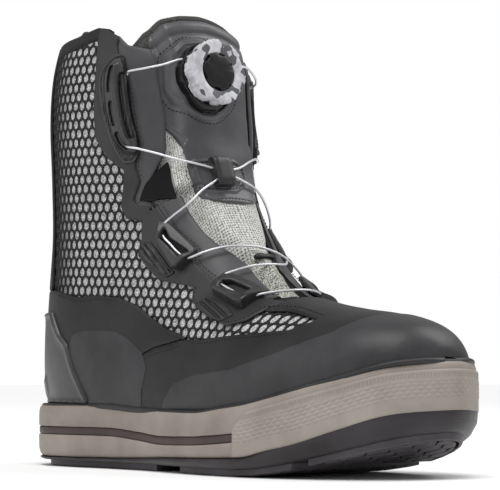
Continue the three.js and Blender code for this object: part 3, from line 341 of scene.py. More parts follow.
def faces_outward(piece, joined=0.0):
    """Turns the faces of a closed shell outwards; places nearer than joined metres become one first."""
    choose(piece)
    bpy.ops.object.mode_set(mode="EDIT")
    bpy.ops.mesh.select_all(action="SELECT")
    if joined:
        bpy.ops.mesh.remove_doubles(threshold=joined)
    bpy.ops.mesh.normals_make_consistent(inside=False)
    bpy.ops.object.mode_set(mode="OBJECT")


def grid_cells(grid):
    """The quads of a numbered grid of places."""
    return np.stack([grid[:-1, :-1], grid[:-1, 1:], grid[1:, 1:], grid[1:, :-1]], -1).reshape(-1, 4)


def grid_border(grid):
    """The places right round a numbered grid, in order, each with the next one."""
    ring = np.concatenate([grid[0, :-1], grid[:-1, -1], grid[-1, :0:-1], grid[:0:-1, 0]])
    return zip(ring, np.roll(ring, -1))


def keep_values(piece, name, values):
    attribute = piece.data.attributes.new(name, "FLOAT", "POINT")
    attribute.data.foreach_set("value", np.asarray(values, np.float32))


def finished(piece, material, slot, *nodes):
    """A finished piece rides on the boot, wears its material and stands for its solids."""
    piece.data.materials.clear()
    piece.data.materials.append(material)
    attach(piece, "root")
    if nodes:
        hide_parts(*nodes)
    return piece


# Layers that lie on the form
BOTH_SIDES = (("outer", 1, (0, 1)), ("inner", -1, (1, 2)))


def turn_steps(quarter, first, last):
    """Half turns spaced evenly over the surface, from one whole quarter to another."""
    quarters = []
    for number in range(round(first * 2), round(last * 2)):
        polar = np.linspace(0, math.pi / 2, quarter + 1)[:-1]
        eased = np.arctan(np.tan(polar) ** 1.25) / math.pi
        even = number % 2 == 0
        if not even:
            rest = np.linspace(0, math.pi / 2, quarter + 1)[1:]
            back = np.full(quarter, 0.5)
            back[:-1] = np.arctan(np.tan(rest[:-1]) ** 1.25) / math.pi
            eased = (0.5 - back)[::-1]
        quarters.append(number / 2 + eased)
    return np.append(np.concatenate(quarters), last)


def split_level(chart, values, faces, level, keep_below):
    """Cuts triangles where their value crosses a level, so that an edge or a fold runs cleanly."""
    above = values > level
    sides = above[faces].sum(1)
    whole = faces[(sides == 3) | (keep_below & (sides == 0))]
    crossing = faces[(sides == 1) | (sides == 2)]
    new_chart, new_values, made, cut = [], [], {}, []

    def between(i, j):
        key = (min(i, j), max(i, j))
        if key not in made:
            t = (level - values[key[0]]) / (values[key[1]] - values[key[0]])
            new_chart.append(chart[key[0]] + t * (chart[key[1]] - chart[key[0]]))
            new_values.append(level)
            made[key] = len(values) + len(new_values) - 1
        return made[key]

    for face in crossing:
        lone = above[face].sum() == 1
        first = int(np.argmax(above[face] == lone))
        a, b, c = (int(face[(first + k) % 3]) for k in range(3))
        ab, ac = between(a, b), between(a, c)
        if lone or keep_below:
            cut.append((a, ab, ac))
        if not lone or keep_below:
            cut.append((ab, b, c))
            cut.append((ab, c, ac))
    chart = np.vstack([chart, new_chart]) if new_chart else chart
    values = np.append(values, new_values)
    faces = np.vstack([whole, np.array(cut, int).reshape(-1, 3)])
    return chart, values, faces


def layer_chart(depth, section_range, turns, section_step, levels, wrapped):
    """Chart places, depths and triangles of the part of the form where depth is above zero."""
    low, high = section_range
    sections = np.linspace(low, high, round((high - low) / section_step) + 1)
    grid_s, grid_t = np.meshgrid(sections, turns, indexing="ij")
    values = depth(grid_s, grid_t, form_surface(grid_s, grid_t))
    rows, columns = grid_s.shape
    number = np.arange(rows * columns).reshape(rows, columns)
    if wrapped:
        number[:, -1] = number[:, 0]
    slope_s, slope_t = np.gradient(values)
    steep = slope_s ** 2 + slope_t ** 2
    move = np.where(np.abs(values) < 0.3 * np.sqrt(steep), -values / np.maximum(steep, 1e-9), 0)
    move[0], move[-1] = 0, 0
    move[:, 0], move[:, -1] = 0, 0
    step_s, step_t = np.gradient(grid_s, axis=0), np.gradient(grid_t, axis=1)
    values = np.where(move != 0, 0.0, values)
    chart = np.stack([grid_s + move * slope_s * step_s, grid_t + move * slope_t * step_t], -1).reshape(-1, 2)
    values = values.ravel()
    a, b, c, d = number[:-1, :-1], number[:-1, 1:], number[1:, 1:], number[1:, :-1]
    faces = np.concatenate([np.stack([a, b, c], -1).reshape(-1, 3), np.stack([a, c, d], -1).reshape(-1, 3)])
    values = np.where(np.abs(values) < 1e-9, 1e-7, values)
    chart, values, faces = split_level(chart, values, faces, 0.0, False)
    for level in levels:
        chart, values, faces = split_level(chart, values, faces, level, True)
    used, renumbered = np.unique(faces, return_inverse=True)
    return chart[used], values[used], renumbered.reshape(-1, 3)


def form_layer(name, depth, inner_face, outer_face, section_range=(0, LAST_SECTION), turns=(-1, 1),
               quarter=44, section_step=0.11, levels=(0.25, 0.8), crease=None):
    """A closed layer on the form. depth says how far inside its edge a place is; the faces are
    heights over the form, the outer one a function of depth, place and point."""
    wrapped = turns[1] - turns[0] == 2
    steps = turn_steps(quarter, *turns)
    chart, values, faces = layer_chart(depth, section_range, steps, section_step, levels, wrapped)
    base = form_surface(chart[:, 0], chart[:, 1])
    normal = form_normal(chart[:, 0], chart[:, 1])
    shift = creases(base) if crease is None else crease(base)
    outer = base + normal * (outer_face(values, chart, base) + shift)[:, None]
    inner = base + normal * (inner_face + shift)[:, None]
    edges = {pair for a, b, c in faces for pair in ((a, b), (b, c), (c, a))}
    rim = [pair for pair in edges if (pair[1], pair[0]) not in edges]
    count = len(chart)
    whole = [tuple(face) for face in faces]
    whole += [(c + count, b + count, a + count) for a, b, c in faces]
    whole += [(b, a, a + count, b + count) for a, b in rim]
    piece = new_piece(name, np.vstack([outer, inner]), whole)
    keep_values(piece, "edge_depth", np.tile(values, 2))
    keep_values(piece, "height", np.tile(outer_face(values, chart, base), 2))
    keep_values(piece, "section", np.tile(chart[:, 0], 2))
    return piece


def rolled(height, low, radius):
    """An outer face at a height whose edge rolls down towards a lower one."""
    def face(depth, _chart, _base):
        u = np.clip(depth / radius, 0, 1)
        return low + (height - low) * np.sqrt(1 - (1 - u) ** 2 * 0.75)
    return face


# Soft troughs and ridges where the boot has been bent: a line in side view, depth, width
CREASES = [
    ((150, 92), (178, 70), -0.5, 6),
    ((112, 118), (128, 100), -0.6, 6),
]


def creases(points):
    shift = np.zeros(len(points))
    for start, end, depth, width in CREASES:
        shift += depth * swell(segment_distance(points[:, 1:3], start, end), 0, width)
    return shift


# Finishes
def fabric_nodes(name, roughness=0.8):
    finish = bpy.data.materials.new(name)
    finish.use_nodes = True
    nodes, links = finish.node_tree.nodes, finish.node_tree.links
    shader = nodes["Principled BSDF"]
    shader.inputs["Roughness"].default_value = roughness
    place = nodes.new("ShaderNodeTexCoord")
    return finish, nodes, links, shader, place.outputs["Object"]


def noise(nodes, links, where, scale, detail=3.0, rough=0.55):
    """Cloudy variation; scale is in spots to the metre."""
    cloud = nodes.new("ShaderNodeTexNoise")
    cloud.inputs["Scale"].default_value = scale
    cloud.inputs["Detail"].default_value = detail
    cloud.inputs["Roughness"].default_value = rough
    links.new(where, cloud.inputs["Vector"])
    return cloud.outputs["Fac"]


def mixed(nodes, links, factor, first, last):
    """Two colours mixed by a factor; each is three numbers or comes from another node."""
    mix = nodes.new("ShaderNodeMix")
    mix.data_type = "RGBA"
    links.new(factor, mix.inputs["Factor"])
    for socket, colour in ((mix.inputs["A"], first), (mix.inputs["B"], last)):
        if isinstance(colour, tuple):
            socket.default_value = (*colour, 1)
        else:
            links.new(colour, socket)
    return mix.outputs["Result"]


def kept_value(nodes, name):
    """A value kept on the piece under a name."""
    kept = nodes.new("ShaderNodeAttribute")
    kept.attribute_name = name
    return kept.outputs["Fac"]


def ramp(nodes, links, value, low, high, first, last):
    """A value between two limits, spread over two colours."""
    spread = nodes.new("ShaderNodeMapRange")
    spread.inputs["From Min"].default_value = low
    spread.inputs["From Max"].default_value = high
    links.new(value, spread.inputs["Value"])
    return mixed(nodes, links, spread.outputs["Result"], first, last)


def bump(nodes, links, shader, height, strength, distance, before=None):
    relief = nodes.new("ShaderNodeBump")
    relief.inputs["Strength"].default_value = strength
    relief.inputs["Distance"].default_value = distance
    links.new(height, relief.inputs["Height"])
    if before is not None:
        links.new(before, relief.inputs["Normal"])
    links.new(relief.outputs["Normal"], shader.inputs["Normal"])
    return relief.outputs["Normal"]


def linear(*levels):
    """A colour in sRGB levels from 0 to 255, as the shader's linear values."""
    return tuple((v / 255 / 12.92) if v <= 10 else ((v / 255 + 0.055) / 1.055) ** 2.4 for v in levels)


def synthetic(name, dark, light, roughness, grain=900.0, grain_depth=0.00012, shine=0.3):
    """Coated synthetic with a fine grain and slow changes of tone."""
    finish, nodes, links, shader, where = fabric_nodes(name, roughness)
    tone = noise(nodes, links, where, 35, 4)
    links.new(ramp(nodes, links, tone, 0.35, 0.65, linear(*dark), linear(*light)), shader.inputs["Base Color"])
    fine = noise(nodes, links, where, grain, 2)
    first = bump(nodes, links, shader, fine, 0.5, grain_depth)
    bump(nodes, links, shader, noise(nodes, links, where, 60, 3), 0.25, 0.0015, first)
    shader.inputs["Specular IOR Level"].default_value = shine
    return finish


overlay_synthetic = synthetic("overlay_synthetic", (33, 33, 34), (44, 44, 45), 0.5)
vamp_synthetic = synthetic("vamp_synthetic", (20, 20, 21), (32, 32, 33), 0.46)
flap_synthetic = synthetic("flap_synthetic", (56, 56, 58), (68, 68, 70), 0.45)
back_synthetic = synthetic("back_synthetic", (26, 26, 27), (34, 34, 35), 0.6)
toe_film = synthetic("toe_film", (38, 38, 40), (52, 52, 54), 0.44, grain=500.0, grain_depth=0.00005)
clip_plastic = synthetic("clip_plastic", (36, 36, 38), (46, 46, 48), 0.38, grain=400.0, grain_depth=0.00004,
                         shine=0.5)
web_plastic = synthetic("web_plastic", (16, 16, 17), (24, 24, 25), 0.6)
guide_plastic = synthetic("guide_plastic", (36, 36, 37), (46, 46, 47), 0.35, grain=400.0, grain_depth=0.00004)
lining_textile = synthetic("lining_textile", (30, 30, 31), (38, 38, 39), 0.9)


# Upper: textile body, films and overlays
def over_rim(points, tuck=6.0):
    return points[..., 2] - sole_height(points[..., 1], RIM) + tuck


def clear_of_throat(section, points, extra=0.0):
    """Distance from the throat's edge; the back half of a section has no throat."""
    before = np.where(section < THROAT[0, 0], -40.0 * (THROAT[0, 0] - section), 0)
    value = np.abs(points[..., 0]) - throat_width(section) - extra - before
    middle = form_surface(section, 0.5 + 0 * np.asarray(section, float))
    behind = points[..., 1] < middle[..., 1] if np.ndim(points) > 1 else points[1] < middle[1]
    return np.where(behind, 40.0, value)


def overlay_depth(outline, half=0, extra=0.3):
    """Depth inside an outline, clear of the collar, the throat and the sole; half is a side."""
    def depth(section, _turn, points):
        value = outline_depth(points, outline)
        value = np.minimum(value, clear_of_throat(section, points, extra))
        value = np.minimum(value, collar_depth(points))
        value = np.minimum(value, over_rim(points))
        if half:
            value = np.minimum(value, half * points[..., 0] - 0.3)
        return value
    return depth


def grown(outline, distance):
    """The outline moved outwards by a distance."""
    corners = np.asarray(outline, float)
    before, after = np.roll(corners, 1, axis=0), np.roll(corners, -1, axis=0)
    area = (corners[:, 0] * after[:, 1] - after[:, 0] * corners[:, 1]).sum()
    def outward(run):
        return unit(np.stack([run[:, 1], -run[:, 0]], -1)) * np.sign(area)
    first, last = outward(corners - before), outward(after - corners)
    middle = unit(first + last)
    reach = distance / np.maximum((middle * last).sum(1), 0.5)
    return [tuple(corner) for corner in corners + middle * reach[:, None]]


TOP = up(1.2)
BACK_UP = SKIN_LOW[0][1]
eyestay_outline = grown(
    placed(SKIN_FRONT[:20]) + placed(EYESTAY_FRONT)[::-1] + [(along(0.324), TOP), (along(0.277), TOP)], -0.15)
counter_outline = grown(
    [(along(-0.05), up(-0.2))] + placed(RAND_SEAM) + placed(SKIN_LOW[:10])[::-1] + [(along(-0.05), up(BACK_UP))],
    -0.15)
vamp_outline = grown(
    placed(RAND_SEAM) + placed(SKIN_LOW[9:]) + placed(SKIN_FRONT[19:])[::-1]
    + [(along(0.673), up(0.268)), (along(0.668), up(0.40)), (along(1.1), up(0.40)), (along(1.1), up(-0.2)),
       (along(0.387), up(-0.2))], -0.15)
back_outline = grown(
    [(along(-0.05), up(BACK_UP)), (along(0.113), up(BACK_UP)), (along(0.113), TOP), (along(-0.05), TOP)], -0.15)


def upper_depth(section, _turn, points):
    value = np.minimum(clear_of_throat(section, points), collar_depth(points))
    return np.minimum(value, points[..., 2] - sole_height(points[..., 1], BED) - 0.3)


def build_upper():
    body = form_layer("upper_body", upper_depth, UPPER_IN, rolled(UPPER_OUT, UPPER_IN, 1.5), (0, LAST_SECTION))
    finished(body, lining_textile, "upper_synthetic", "upper")
    thick = rolled(OVERLAY_OUT, OVERLAY_IN, 0.8)
    for side, half, turns in BOTH_SIDES:
        stay = form_layer(f"eyestay_{side}_film", overlay_depth(eyestay_outline, half), OVERLAY_IN, thick,
                          (6, LAST_SECTION), turns, quarter=60, section_step=0.08)
        finished(stay, overlay_synthetic, "overlay_synthetic", f"eyestay_{side}")
    counter = form_layer("heel_counter_film", overlay_depth(counter_outline), OVERLAY_IN, thick, (6, 21), (-1, 1))
    finished(counter, vamp_synthetic, "overlay_synthetic", "heel_counter")
    vamp = form_layer("vamp_film", overlay_depth(vamp_outline), OVERLAY_IN, thick, (0, 14), (0, 2))
    finished(vamp, vamp_synthetic, "overlay_synthetic", "vamp")
    back = form_layer("back_strip", overlay_depth(back_outline), OVERLAY_IN, thick, (14, LAST_SECTION),
                      (-0.5, 0.5))
    finished(back, back_synthetic, "overlay_synthetic", "back_panel")


GUSSET = [(87.6, 172.4), (82.6, 166.6), (77.4, 160.4), (75.2, 155.7), (73.9, 150.6), (79.4, 150.2), (85.6, 151.4),
          (92.0, 151.8), (94.8, 151.2), (92.0, 157.1), (90.0, 162.6), (89.0, 168.2)]
# The gussets are real folds beside the tongue; their near-black colour is painted shadow, for the shade they lie in
# between flap and tongue.
gusset_shadow_black = synthetic("gusset_shadow_black", (9, 9, 9), (16, 16, 16), 0.85, shine=0.2)


def gusset_face(_depth, chart, _base):
    return np.maximum(-1.2, tongue_offset(chart[:, 0], chart[:, 1]) + 0.25)


def build_flaps():
    flap_outline = placed(EYESTAY_FRONT)[::-1] + [(along(0.300), TOP), (along(0.9), TOP), (along(0.9), up(0.268))]
    for side, half, turns in BOTH_SIDES:
        def flap_depth(section, _turn, points, half=half):
            value = np.minimum(outline_depth(points, grown(flap_outline, 2.5)), half * points[..., 0] - 0.3)
            value = np.minimum(value, clear_of_throat(section, points, -0.4))
            return np.minimum(value, collar_depth(points) + 0.6)
        film = form_layer(f"flap_{side}_film", flap_depth, -2.9, rolled(-1.5, -3.6, 1.6), (8, LAST_SECTION), turns,
                          quarter=70, section_step=0.08, levels=(0.4, 1.0, 1.8))
        finished(film, flap_synthetic, "overlay_synthetic")

        def gusset_depth(_section, _turn, points, half=half):
            return np.minimum(outline_depth(points, GUSSET), half * points[..., 0] - 0.3)
        fold = form_layer(f"tongue_gusset_{side}", gusset_depth, -3.2, gusset_face, (12, 17), turns,
                          quarter=90, section_step=0.06, levels=(0.4,))
        finished(fold, gusset_shadow_black, "tongue_textile")


def build_collar():
    def band_depth(section, _turn, points):
        value = np.minimum(collar_depth(points) + 1.3, 7.0 - collar_depth(points))
        value = np.minimum(value, along(0.30) - points[..., 1])
        return np.minimum(value, clear_of_throat(section, points, -0.5))

    band = form_layer("collar_band", band_depth, -6.0, rolled(-0.9, -4.6, 2.6), (19, LAST_SECTION),
                      quarter=60, section_step=0.05, levels=(0.4, 1.0, 1.8, 2.6))
    finished(band, lining_textile, "upper_synthetic")


build_upper()
build_flaps()
build_collar()


# Films on the toe and heel
def over_welt(points):
    return points[..., 2] - sole_height(points[..., 1], RIM) - 1.0


cap_outline = placed(CAP_EDGE) + [(along(1.1), up(0.32)), (along(1.1), up(-0.06))]
COUNTER_FILM = [(8, 40), (18.1, 75.0), (24.2, 77.5), (34.4, 78.7), (56.7, 78.0), (71.8, 72.7), (83.9, 64.6),
                (87.5, 57.0), (82.0, 42.0), (80.0, 20.0), (8, 20)]


def clip_face(depth, _chart, base):
    """The cradle is thin at its front edge, with a ridge along it and a ledge behind."""
    edge = np.clip(depth / 0.8, 0, 1)
    ridge = swell(depth, 1.8, 1.2)
    ledge = smooth(base[:, 2], 52.0, 50.0) * smooth(-base[:, 1], 16, 18) * smooth(base[:, 2], 40.5, 42)
    return 0.1 + 1.1 * np.sqrt(1 - (1 - edge) ** 2) + 0.9 * ridge + 0.8 * ledge


def build_films():
    def cap_depth(_section, _turn, points):
        return np.minimum(outline_depth(points, cap_outline), over_welt(points))

    def clip_depth(_section, _turn, points):
        return np.minimum(outline_depth(points, placed(CLIP_EDGE)), over_welt(points))

    def film_depth(_section, _turn, points):
        return np.minimum(np.minimum(outline_depth(points, COUNTER_FILM), over_welt(points)), points[..., 0])

    cap = form_layer("toe_cap_film", cap_depth, -0.4, rolled(0.5, -0.2, 0.6), (0, 12), (0, 2))
    finished(cap, toe_film, "toe_film", "toe_cap")
    clip = form_layer("heel_cradle", clip_depth, -0.4, clip_face, (8, 20), (-1, 1),
                      quarter=60, section_step=0.08, levels=(0.3, 0.8, 1.8, 3.0))
    finished(clip, clip_plastic, "heel_plastic", "heel_clip")
    film = form_layer("counter_film", film_depth, -0.4, rolled(0.35, -0.2, 0.5), (8, 18), (0, 1))
    finished(film, toe_film, "toe_film")


build_films()


# Honeycomb skin over the mesh textile
HEX_PITCH = 6.1
HEX_ROW = 5.3
HEX_HOLE = 4.85
HEX_TILT = -0.045


class SideSheet:
    """The outer side of the form laid flat: distance round it at each height, and the height."""

    def __init__(self, middle_along=45.0):
        self.heights = np.arange(62.0, 262.0, 1.0)
        self.turns = np.linspace(0.06, 0.94, 221)
        sections = np.linspace(5.0, LAST_SECTION, 721)
        grid = form_surface(sections[:, None], self.turns[None, :])
        self.sections = np.array([
            np.interp(self.heights, np.maximum.accumulate(grid[:, k, 2]), sections) for k in range(len(self.turns))
        ]).T
        points = form_surface(self.sections, self.turns[None, :])
        step = np.hypot(np.diff(points[..., 0], axis=1), np.diff(points[..., 1], axis=1))
        self.run = np.concatenate([np.zeros((len(self.heights), 1)), np.cumsum(step, axis=1)], axis=1)
        for k in range(len(self.heights)):
            self.run[k] -= np.interp(middle_along, points[k, :, 1], self.run[k])

    def chart(self, run, height):
        """Section and turn of places given by their run and height, in rows that fall a little forwards."""
        run, height = (run * math.cos(HEX_TILT) - (height - 160) * math.sin(HEX_TILT),
                       run * math.sin(HEX_TILT) + (height - 160) * math.cos(HEX_TILT) + 160)
        step = self.heights[1] - self.heights[0]
        row = np.clip((height - self.heights[0]) / step, 0, len(self.heights) - 1.001)
        low = np.floor(row).astype(int)
        share = row - low
        found = []
        for r, line, t in zip(run, low, share):
            turn = [np.interp(r, self.run[line + d], self.turns) for d in (0, 1)]
            section = [np.interp(turn[d], self.turns, self.sections[line + d]) for d in (0, 1)]
            found.append((section[0] * (1 - t) + section[1] * t, turn[0] * (1 - t) + turn[1] * t))
        return np.array(found)


skin_outline = placed(SKIN_FRONT) + placed(SKIN_LOW)[::-1] + [(along(0.113), up(1.010))]


def build_honeycomb():
    sheet = SideSheet()
    rows = np.arange(round(66 / HEX_ROW), round(256 / HEX_ROW))
    centres = np.array([((c + (r % 2) / 2) * HEX_PITCH, r * HEX_ROW) for r in rows for c in range(-22, 34)])
    chart = sheet.chart(centres[:, 0], centres[:, 1])
    middle = form_surface(chart[:, 0], chart[:, 1])
    kept = outline_depth(middle, skin_outline) > -4.5
    kept &= (chart[:, 1] > 0.07) & (chart[:, 1] < 0.93) & (clear_of_throat(chart[:, 0], middle) > 1)
    kept &= collar_depth(middle) > 4.5
    centres = centres[kept]
    angles = math.radians(30) + np.arange(6) * math.pi / 3
    cell = np.stack([np.cos(angles) * HEX_PITCH / math.sqrt(3), np.sin(angles) * HEX_ROW * 2 / 3], -1)
    soft = math.radians(15) + np.arange(12) * math.pi / 6
    hole = np.stack([np.cos(soft) * HEX_HOLE / 2 * 1.06, np.sin(soft) * HEX_HOLE / 2 * 1.06], -1)
    rings = ((cell, -1.72), (hole * 1.16, SKIN_OUT), (hole, -1.75), (hole, -2.75))
    corners, heights, sizes = [], [], []
    for ring, height in rings:
        corners.append((centres[:, None, :] + ring[None]).reshape(-1, 2))
        heights.append(np.full(len(corners[-1]), height))
        sizes.append(len(ring))
    corners, heights = np.vstack(corners), np.concatenate(heights)
    chart = sheet.chart(corners[:, 0], corners[:, 1])
    starts = np.cumsum([0] + [size * len(centres) for size in sizes])
    faces = []
    for n in range(len(centres)):
        outer, lip, inner, floor = (starts[k] + n * sizes[k] for k in range(4))
        for k in range(6):
            nxt = (k + 1) % 6
            a, b, c = (2 * k) % 12, (2 * k + 1) % 12, (2 * k + 2) % 12
            faces.append((outer + k, lip + b, lip + a))
            faces.append((outer + k, outer + nxt, lip + c, lip + b))
        for k in range(12):
            nxt = (k + 1) % 12
            faces.append((lip + k, lip + nxt, inner + nxt, inner + k))
            faces.append((inner + k, inner + nxt, floor + nxt, floor + k))
    for side, mirror in (("outer", 1), ("inner", -1)):
        turn = chart[:, 1] if mirror > 0 else 2 - chart[:, 1]
        points = form_point(chart[:, 0], turn, heights + creases(form_surface(chart[:, 0], turn)))
        piece = new_piece(f"honeycomb_web_{side}", points,
                          faces if mirror > 0 else [f[::-1] for f in faces], 60)
        choose(piece)
        bpy.ops.object.mode_set(mode="EDIT")
        bpy.ops.mesh.select_all(action="SELECT")
        bpy.ops.mesh.remove_doubles(threshold=0.00002)
        bpy.ops.object.mode_set(mode="OBJECT")
        finished(piece, web_plastic, "honeycomb_film", f"honeycomb_skin_{side}")


def mesh_textile():
    """White and grey knit that shows through the honeycomb, with painted shade that darkens it towards the back
    edge.
    """
    finish, nodes, links, shader, where = fabric_nodes("mesh_textile", 0.9)
    fine = noise(nodes, links, where, 1500, 2)
    tone = ramp(nodes, links, fine, 0.4, 0.6, linear(104, 104, 106), linear(206, 206, 206))
    split = nodes.new("ShaderNodeSeparateXYZ")
    links.new(where, split.inputs["Vector"])
    # Painted shade: the knit's colour is darkened towards the back edge.
    behind = ramp(nodes, links, split.outputs["Y"], 0.022, -0.004, tone, linear(44, 44, 45))
    links.new(behind, shader.inputs["Base Color"])
    bump(nodes, links, shader, fine, 0.8, 0.0004)
    return finish


def build_mesh_layer():
    knit = mesh_textile()
    for side, half, turns in BOTH_SIDES:
        def depth(section, _turn, points, half=half):
            value = np.minimum(outline_depth(points, grown(skin_outline, 2.5)), half * points[..., 0] - 0.3)
            value = np.minimum(value, clear_of_throat(section, points, 1.0))
            return np.minimum(value, collar_depth(points) - 1.0)
        layer = form_layer(f"mesh_textile_{side}", depth, -2.9, rolled(-2.45, -2.6, 0.5), (4, LAST_SECTION), turns)
        finished(layer, knit, "upper_synthetic")


build_honeycomb()
build_mesh_layer()


# Tongue: a padded slab that swells up between the flaps, with a smooth panel over its upper half
TONGUE_TOP = 22.6
TONGUE_FOOT = 7.3
# Millimetres along the tongue from one section to the next, and across it to a half turn
SECTION_LENGTH = 13.0
HALF_TURN_WIDTH = 82.0


def tongue_turn(section, across):
    half = np.interp(section, TONGUE_WIDTHS[:, 0], TONGUE_WIDTHS[:, 1])
    return 1 - half * across


TOP_EDGE = np.array([
    [0.60, 20.3], [0.675, 21.20], [0.742, 21.92], [0.825, 22.42], [0.912, 22.74], [0.996, 22.86],
    [1.060, 22.68], [1.120, 22.45], [1.200, 22.05], [1.260, 21.65], [1.330, 21.15], [1.400, 20.6],
])


def tongue_top(turn):
    return np.interp(turn, TOP_EDGE[:, 0], TOP_EDGE[:, 1])


def tongue_relief(section, turn):
    """Rolled band under the knitted top edge, with a groove on each side of it."""
    under = tongue_top(turn) - section
    band = 1.0 * swell(under, 0.88, 0.27)
    return band - 0.9 * swell(under, 0.48, 0.09) - 1.1 * swell(under, 1.30, 0.09)


def tongue_layer(name, sections, across, low, high, ends, relief=1.0):
    """A closed slab over the tongue between two heights, its edges and ends rounded over."""
    share, a = np.meshgrid(np.linspace(0, 1, len(sections)), across, indexing="ij")
    start = sections[0]
    stop = tongue_top(tongue_turn(20.5, a))
    s = start + (stop - start) * share
    near_end = np.minimum(s - start, stop - s) * SECTION_LENGTH
    near_side = (1 - np.abs(a) / np.abs(across).max()) * 38
    u = np.clip(np.minimum(near_end, near_side) / ends, 0, 1)
    round_off = np.sqrt(np.clip(1 - (1 - u) ** 2, 0, 1))
    turn = tongue_turn(s, a)
    seat = tongue_offset(s, turn)
    middle = (low + high) / 2
    shift = tongue_relief(s, turn) * relief * smooth(1 - np.abs(a), 0.0, 0.1)
    top = form_point(s, turn, seat + middle + (high - middle + shift) * round_off)
    bottom = form_point(s, turn, seat + middle + (low - middle) * round_off)
    rows, columns = s.shape
    count = rows * columns
    grid = np.arange(count).reshape(rows, columns)
    cells = grid_cells(grid)
    faces = list(cells[:, BACKWARDS]) + list(cells + count)
    piece = new_piece(name, np.vstack([top.reshape(-1, 3), bottom.reshape(-1, 3)]), faces, 60)
    keep_values(piece, "section", np.tile(s.ravel(), 2))
    keep_values(piece, "under_top", np.tile((stop - s).ravel(), 2))
    keep_values(piece, "weave_across", np.tile(((turn - 1) * HALF_TURN_WIDTH).ravel(), 2))
    keep_values(piece, "weave_along", np.tile((s * 11).ravel(), 2))
    faces_outward(piece, 0.00001)
    return piece


def math_node(nodes, links, operation, first, second):
    """One arithmetic step on values or plain numbers."""
    step = nodes.new("ShaderNodeMath")
    step.operation = operation
    for socket, value in zip(step.inputs, (first, second)):
        if isinstance(value, (int, float)):
            socket.default_value = value
        else:
            links.new(value, socket)
    return step.outputs["Value"]


def woven(nodes, links, where, across_name, along_name, pitch):
    """A diagonal weave of small cells on two attributes in millimetres, broken up by flecks."""
    fleck = noise(nodes, links, where, 1300, 2, 0.6)
    waves = []
    for sign in (1, -1):
        turned = math_node(nodes, links, "MULTIPLY", kept_value(nodes, along_name), 0.7 * sign)
        both = math_node(nodes, links, "ADD", kept_value(nodes, across_name), turned)
        phase = math_node(nodes, links, "MULTIPLY", both, 2 * math.pi / pitch)
        waves.append(math_node(nodes, links, "SINE", phase, 0))
    product = math_node(nodes, links, "MULTIPLY", waves[0], waves[1])
    cells = math_node(nodes, links, "MULTIPLY_ADD", product, 0.16)
    cells.node.inputs[2].default_value = 0.0
    return math_node(nodes, links, "ADD", cells, fleck)


def tongue_textile():
    """Flecked grey weave, black and flecked along the top edge."""
    finish, nodes, links, shader, where = fabric_nodes("tongue_textile", 0.95)
    weave = woven(nodes, links, where, "weave_across", "weave_along", 1.5)
    light = ramp(nodes, links, weave, 0.30, 0.62, linear(84, 85, 83), linear(208, 208, 204))
    dark = ramp(nodes, links, weave, 0.35, 0.75, linear(26, 26, 26), linear(88, 88, 84))
    edge = ramp(nodes, links, kept_value(nodes, "under_top"), 1.5, 1.4, light, dark)
    links.new(edge, shader.inputs["Base Color"])
    bump(nodes, links, shader, weave, 0.9, 0.0005)
    return finish


tongue_synthetic = synthetic("tongue_synthetic", (60, 60, 62), (76, 76, 79), 0.38, shine=0.4)


def seat_frame(section, turn, offset):
    """A frame on the form: origin, x across, y up the boot and z outwards."""
    origin = form_point(section, turn, offset)
    out = form_normal(section, turn)
    ahead = form_surface(section + 0.3, turn) - form_surface(section - 0.3, turn)
    side = unit(np.cross(ahead, out))
    return origin, side, np.cross(out, side), out


def flat_places(points, seat):
    """Places in the plane of a seat, as across and along, in the columns that outlines use."""
    away = points - seat[0]
    return np.stack([0 * away[..., 0], away @ seat[1], away @ seat[2]], -1)


DIAL_SECTION, DIAL_TURN = 19.15, 0.968
GUIDE_SECTION, GUIDE_TURN = 13.9, 0.975
dial_seat = seat_frame(DIAL_SECTION, DIAL_TURN, tongue_offset(DIAL_SECTION, DIAL_TURN))
centre_seat = seat_frame(GUIDE_SECTION, GUIDE_TURN, tongue_offset(GUIDE_SECTION, GUIDE_TURN))

DIAL_PAD = [(-20.5, 6), (-18.5, 13), (-11, 19.5), (0, 21.5), (11, 19.5), (18.5, 13), (20.5, 6), (20.5, -7),
            (17.5, -15), (10, -21.5), (4, -24.2), (-4, -24.2), (-10, -21.5), (-17.5, -15), (-20.5, -7)]
CENTRE_PAD = [(-19.5, 5.5), (-14, 9), (14, 9), (19.5, 5.5), (20.5, -1), (17, -7), (9, -11.5), (-9, -11.5),
              (-17, -7), (-20.5, -1)]
CENTRE_RISE = [(-15.5, 3.5), (-11, 6.5), (11, 6.5), (15.5, 3.5), (16, -1), (13.5, -5), (7, -8.5), (-7, -8.5),
               (-13.5, -5), (-16, -1)]

PANEL_HALF = np.array([[12.55, 0.02], [12.75, 0.075], [13.0, 0.105], [13.4, 0.122], [14.0, 0.126], [14.9, 0.131],
                       [15.6, 0.138], [16.1, 0.150], [16.6, 0.172], [17.1, 0.205], [17.7, 0.235], [22.05, 0.25]])
PANEL_LEFT = np.column_stack([
    PANEL_HALF[:, 0],
    np.minimum(PANEL_HALF[:, 1] / np.interp(PANEL_HALF[:, 0], TONGUE_WIDTHS[:, 0], TONGUE_WIDTHS[:, 1]), 0.72)])


def pad_relief(points):
    """Stitched pads that stand up from the panel under the dial and under the centre guide."""
    around = outline_depth(flat_places(points, dial_seat), DIAL_PAD)
    shift = 0.8 * smooth(around, -0.8, 0.8) - 0.5 * smooth(around, 1.6, 2.4)
    shift -= 0.25 * swell(around, -1.3, 0.7)
    around = outline_depth(flat_places(points, centre_seat), CENTRE_PAD)
    shift += 0.9 * smooth(around, -0.4, 0.5) - 0.5 * smooth(around, 1.8, 2.4)
    around = outline_depth(flat_places(points, centre_seat), CENTRE_RISE)
    return shift + 0.9 * smooth(around, -0.4, 0.5)


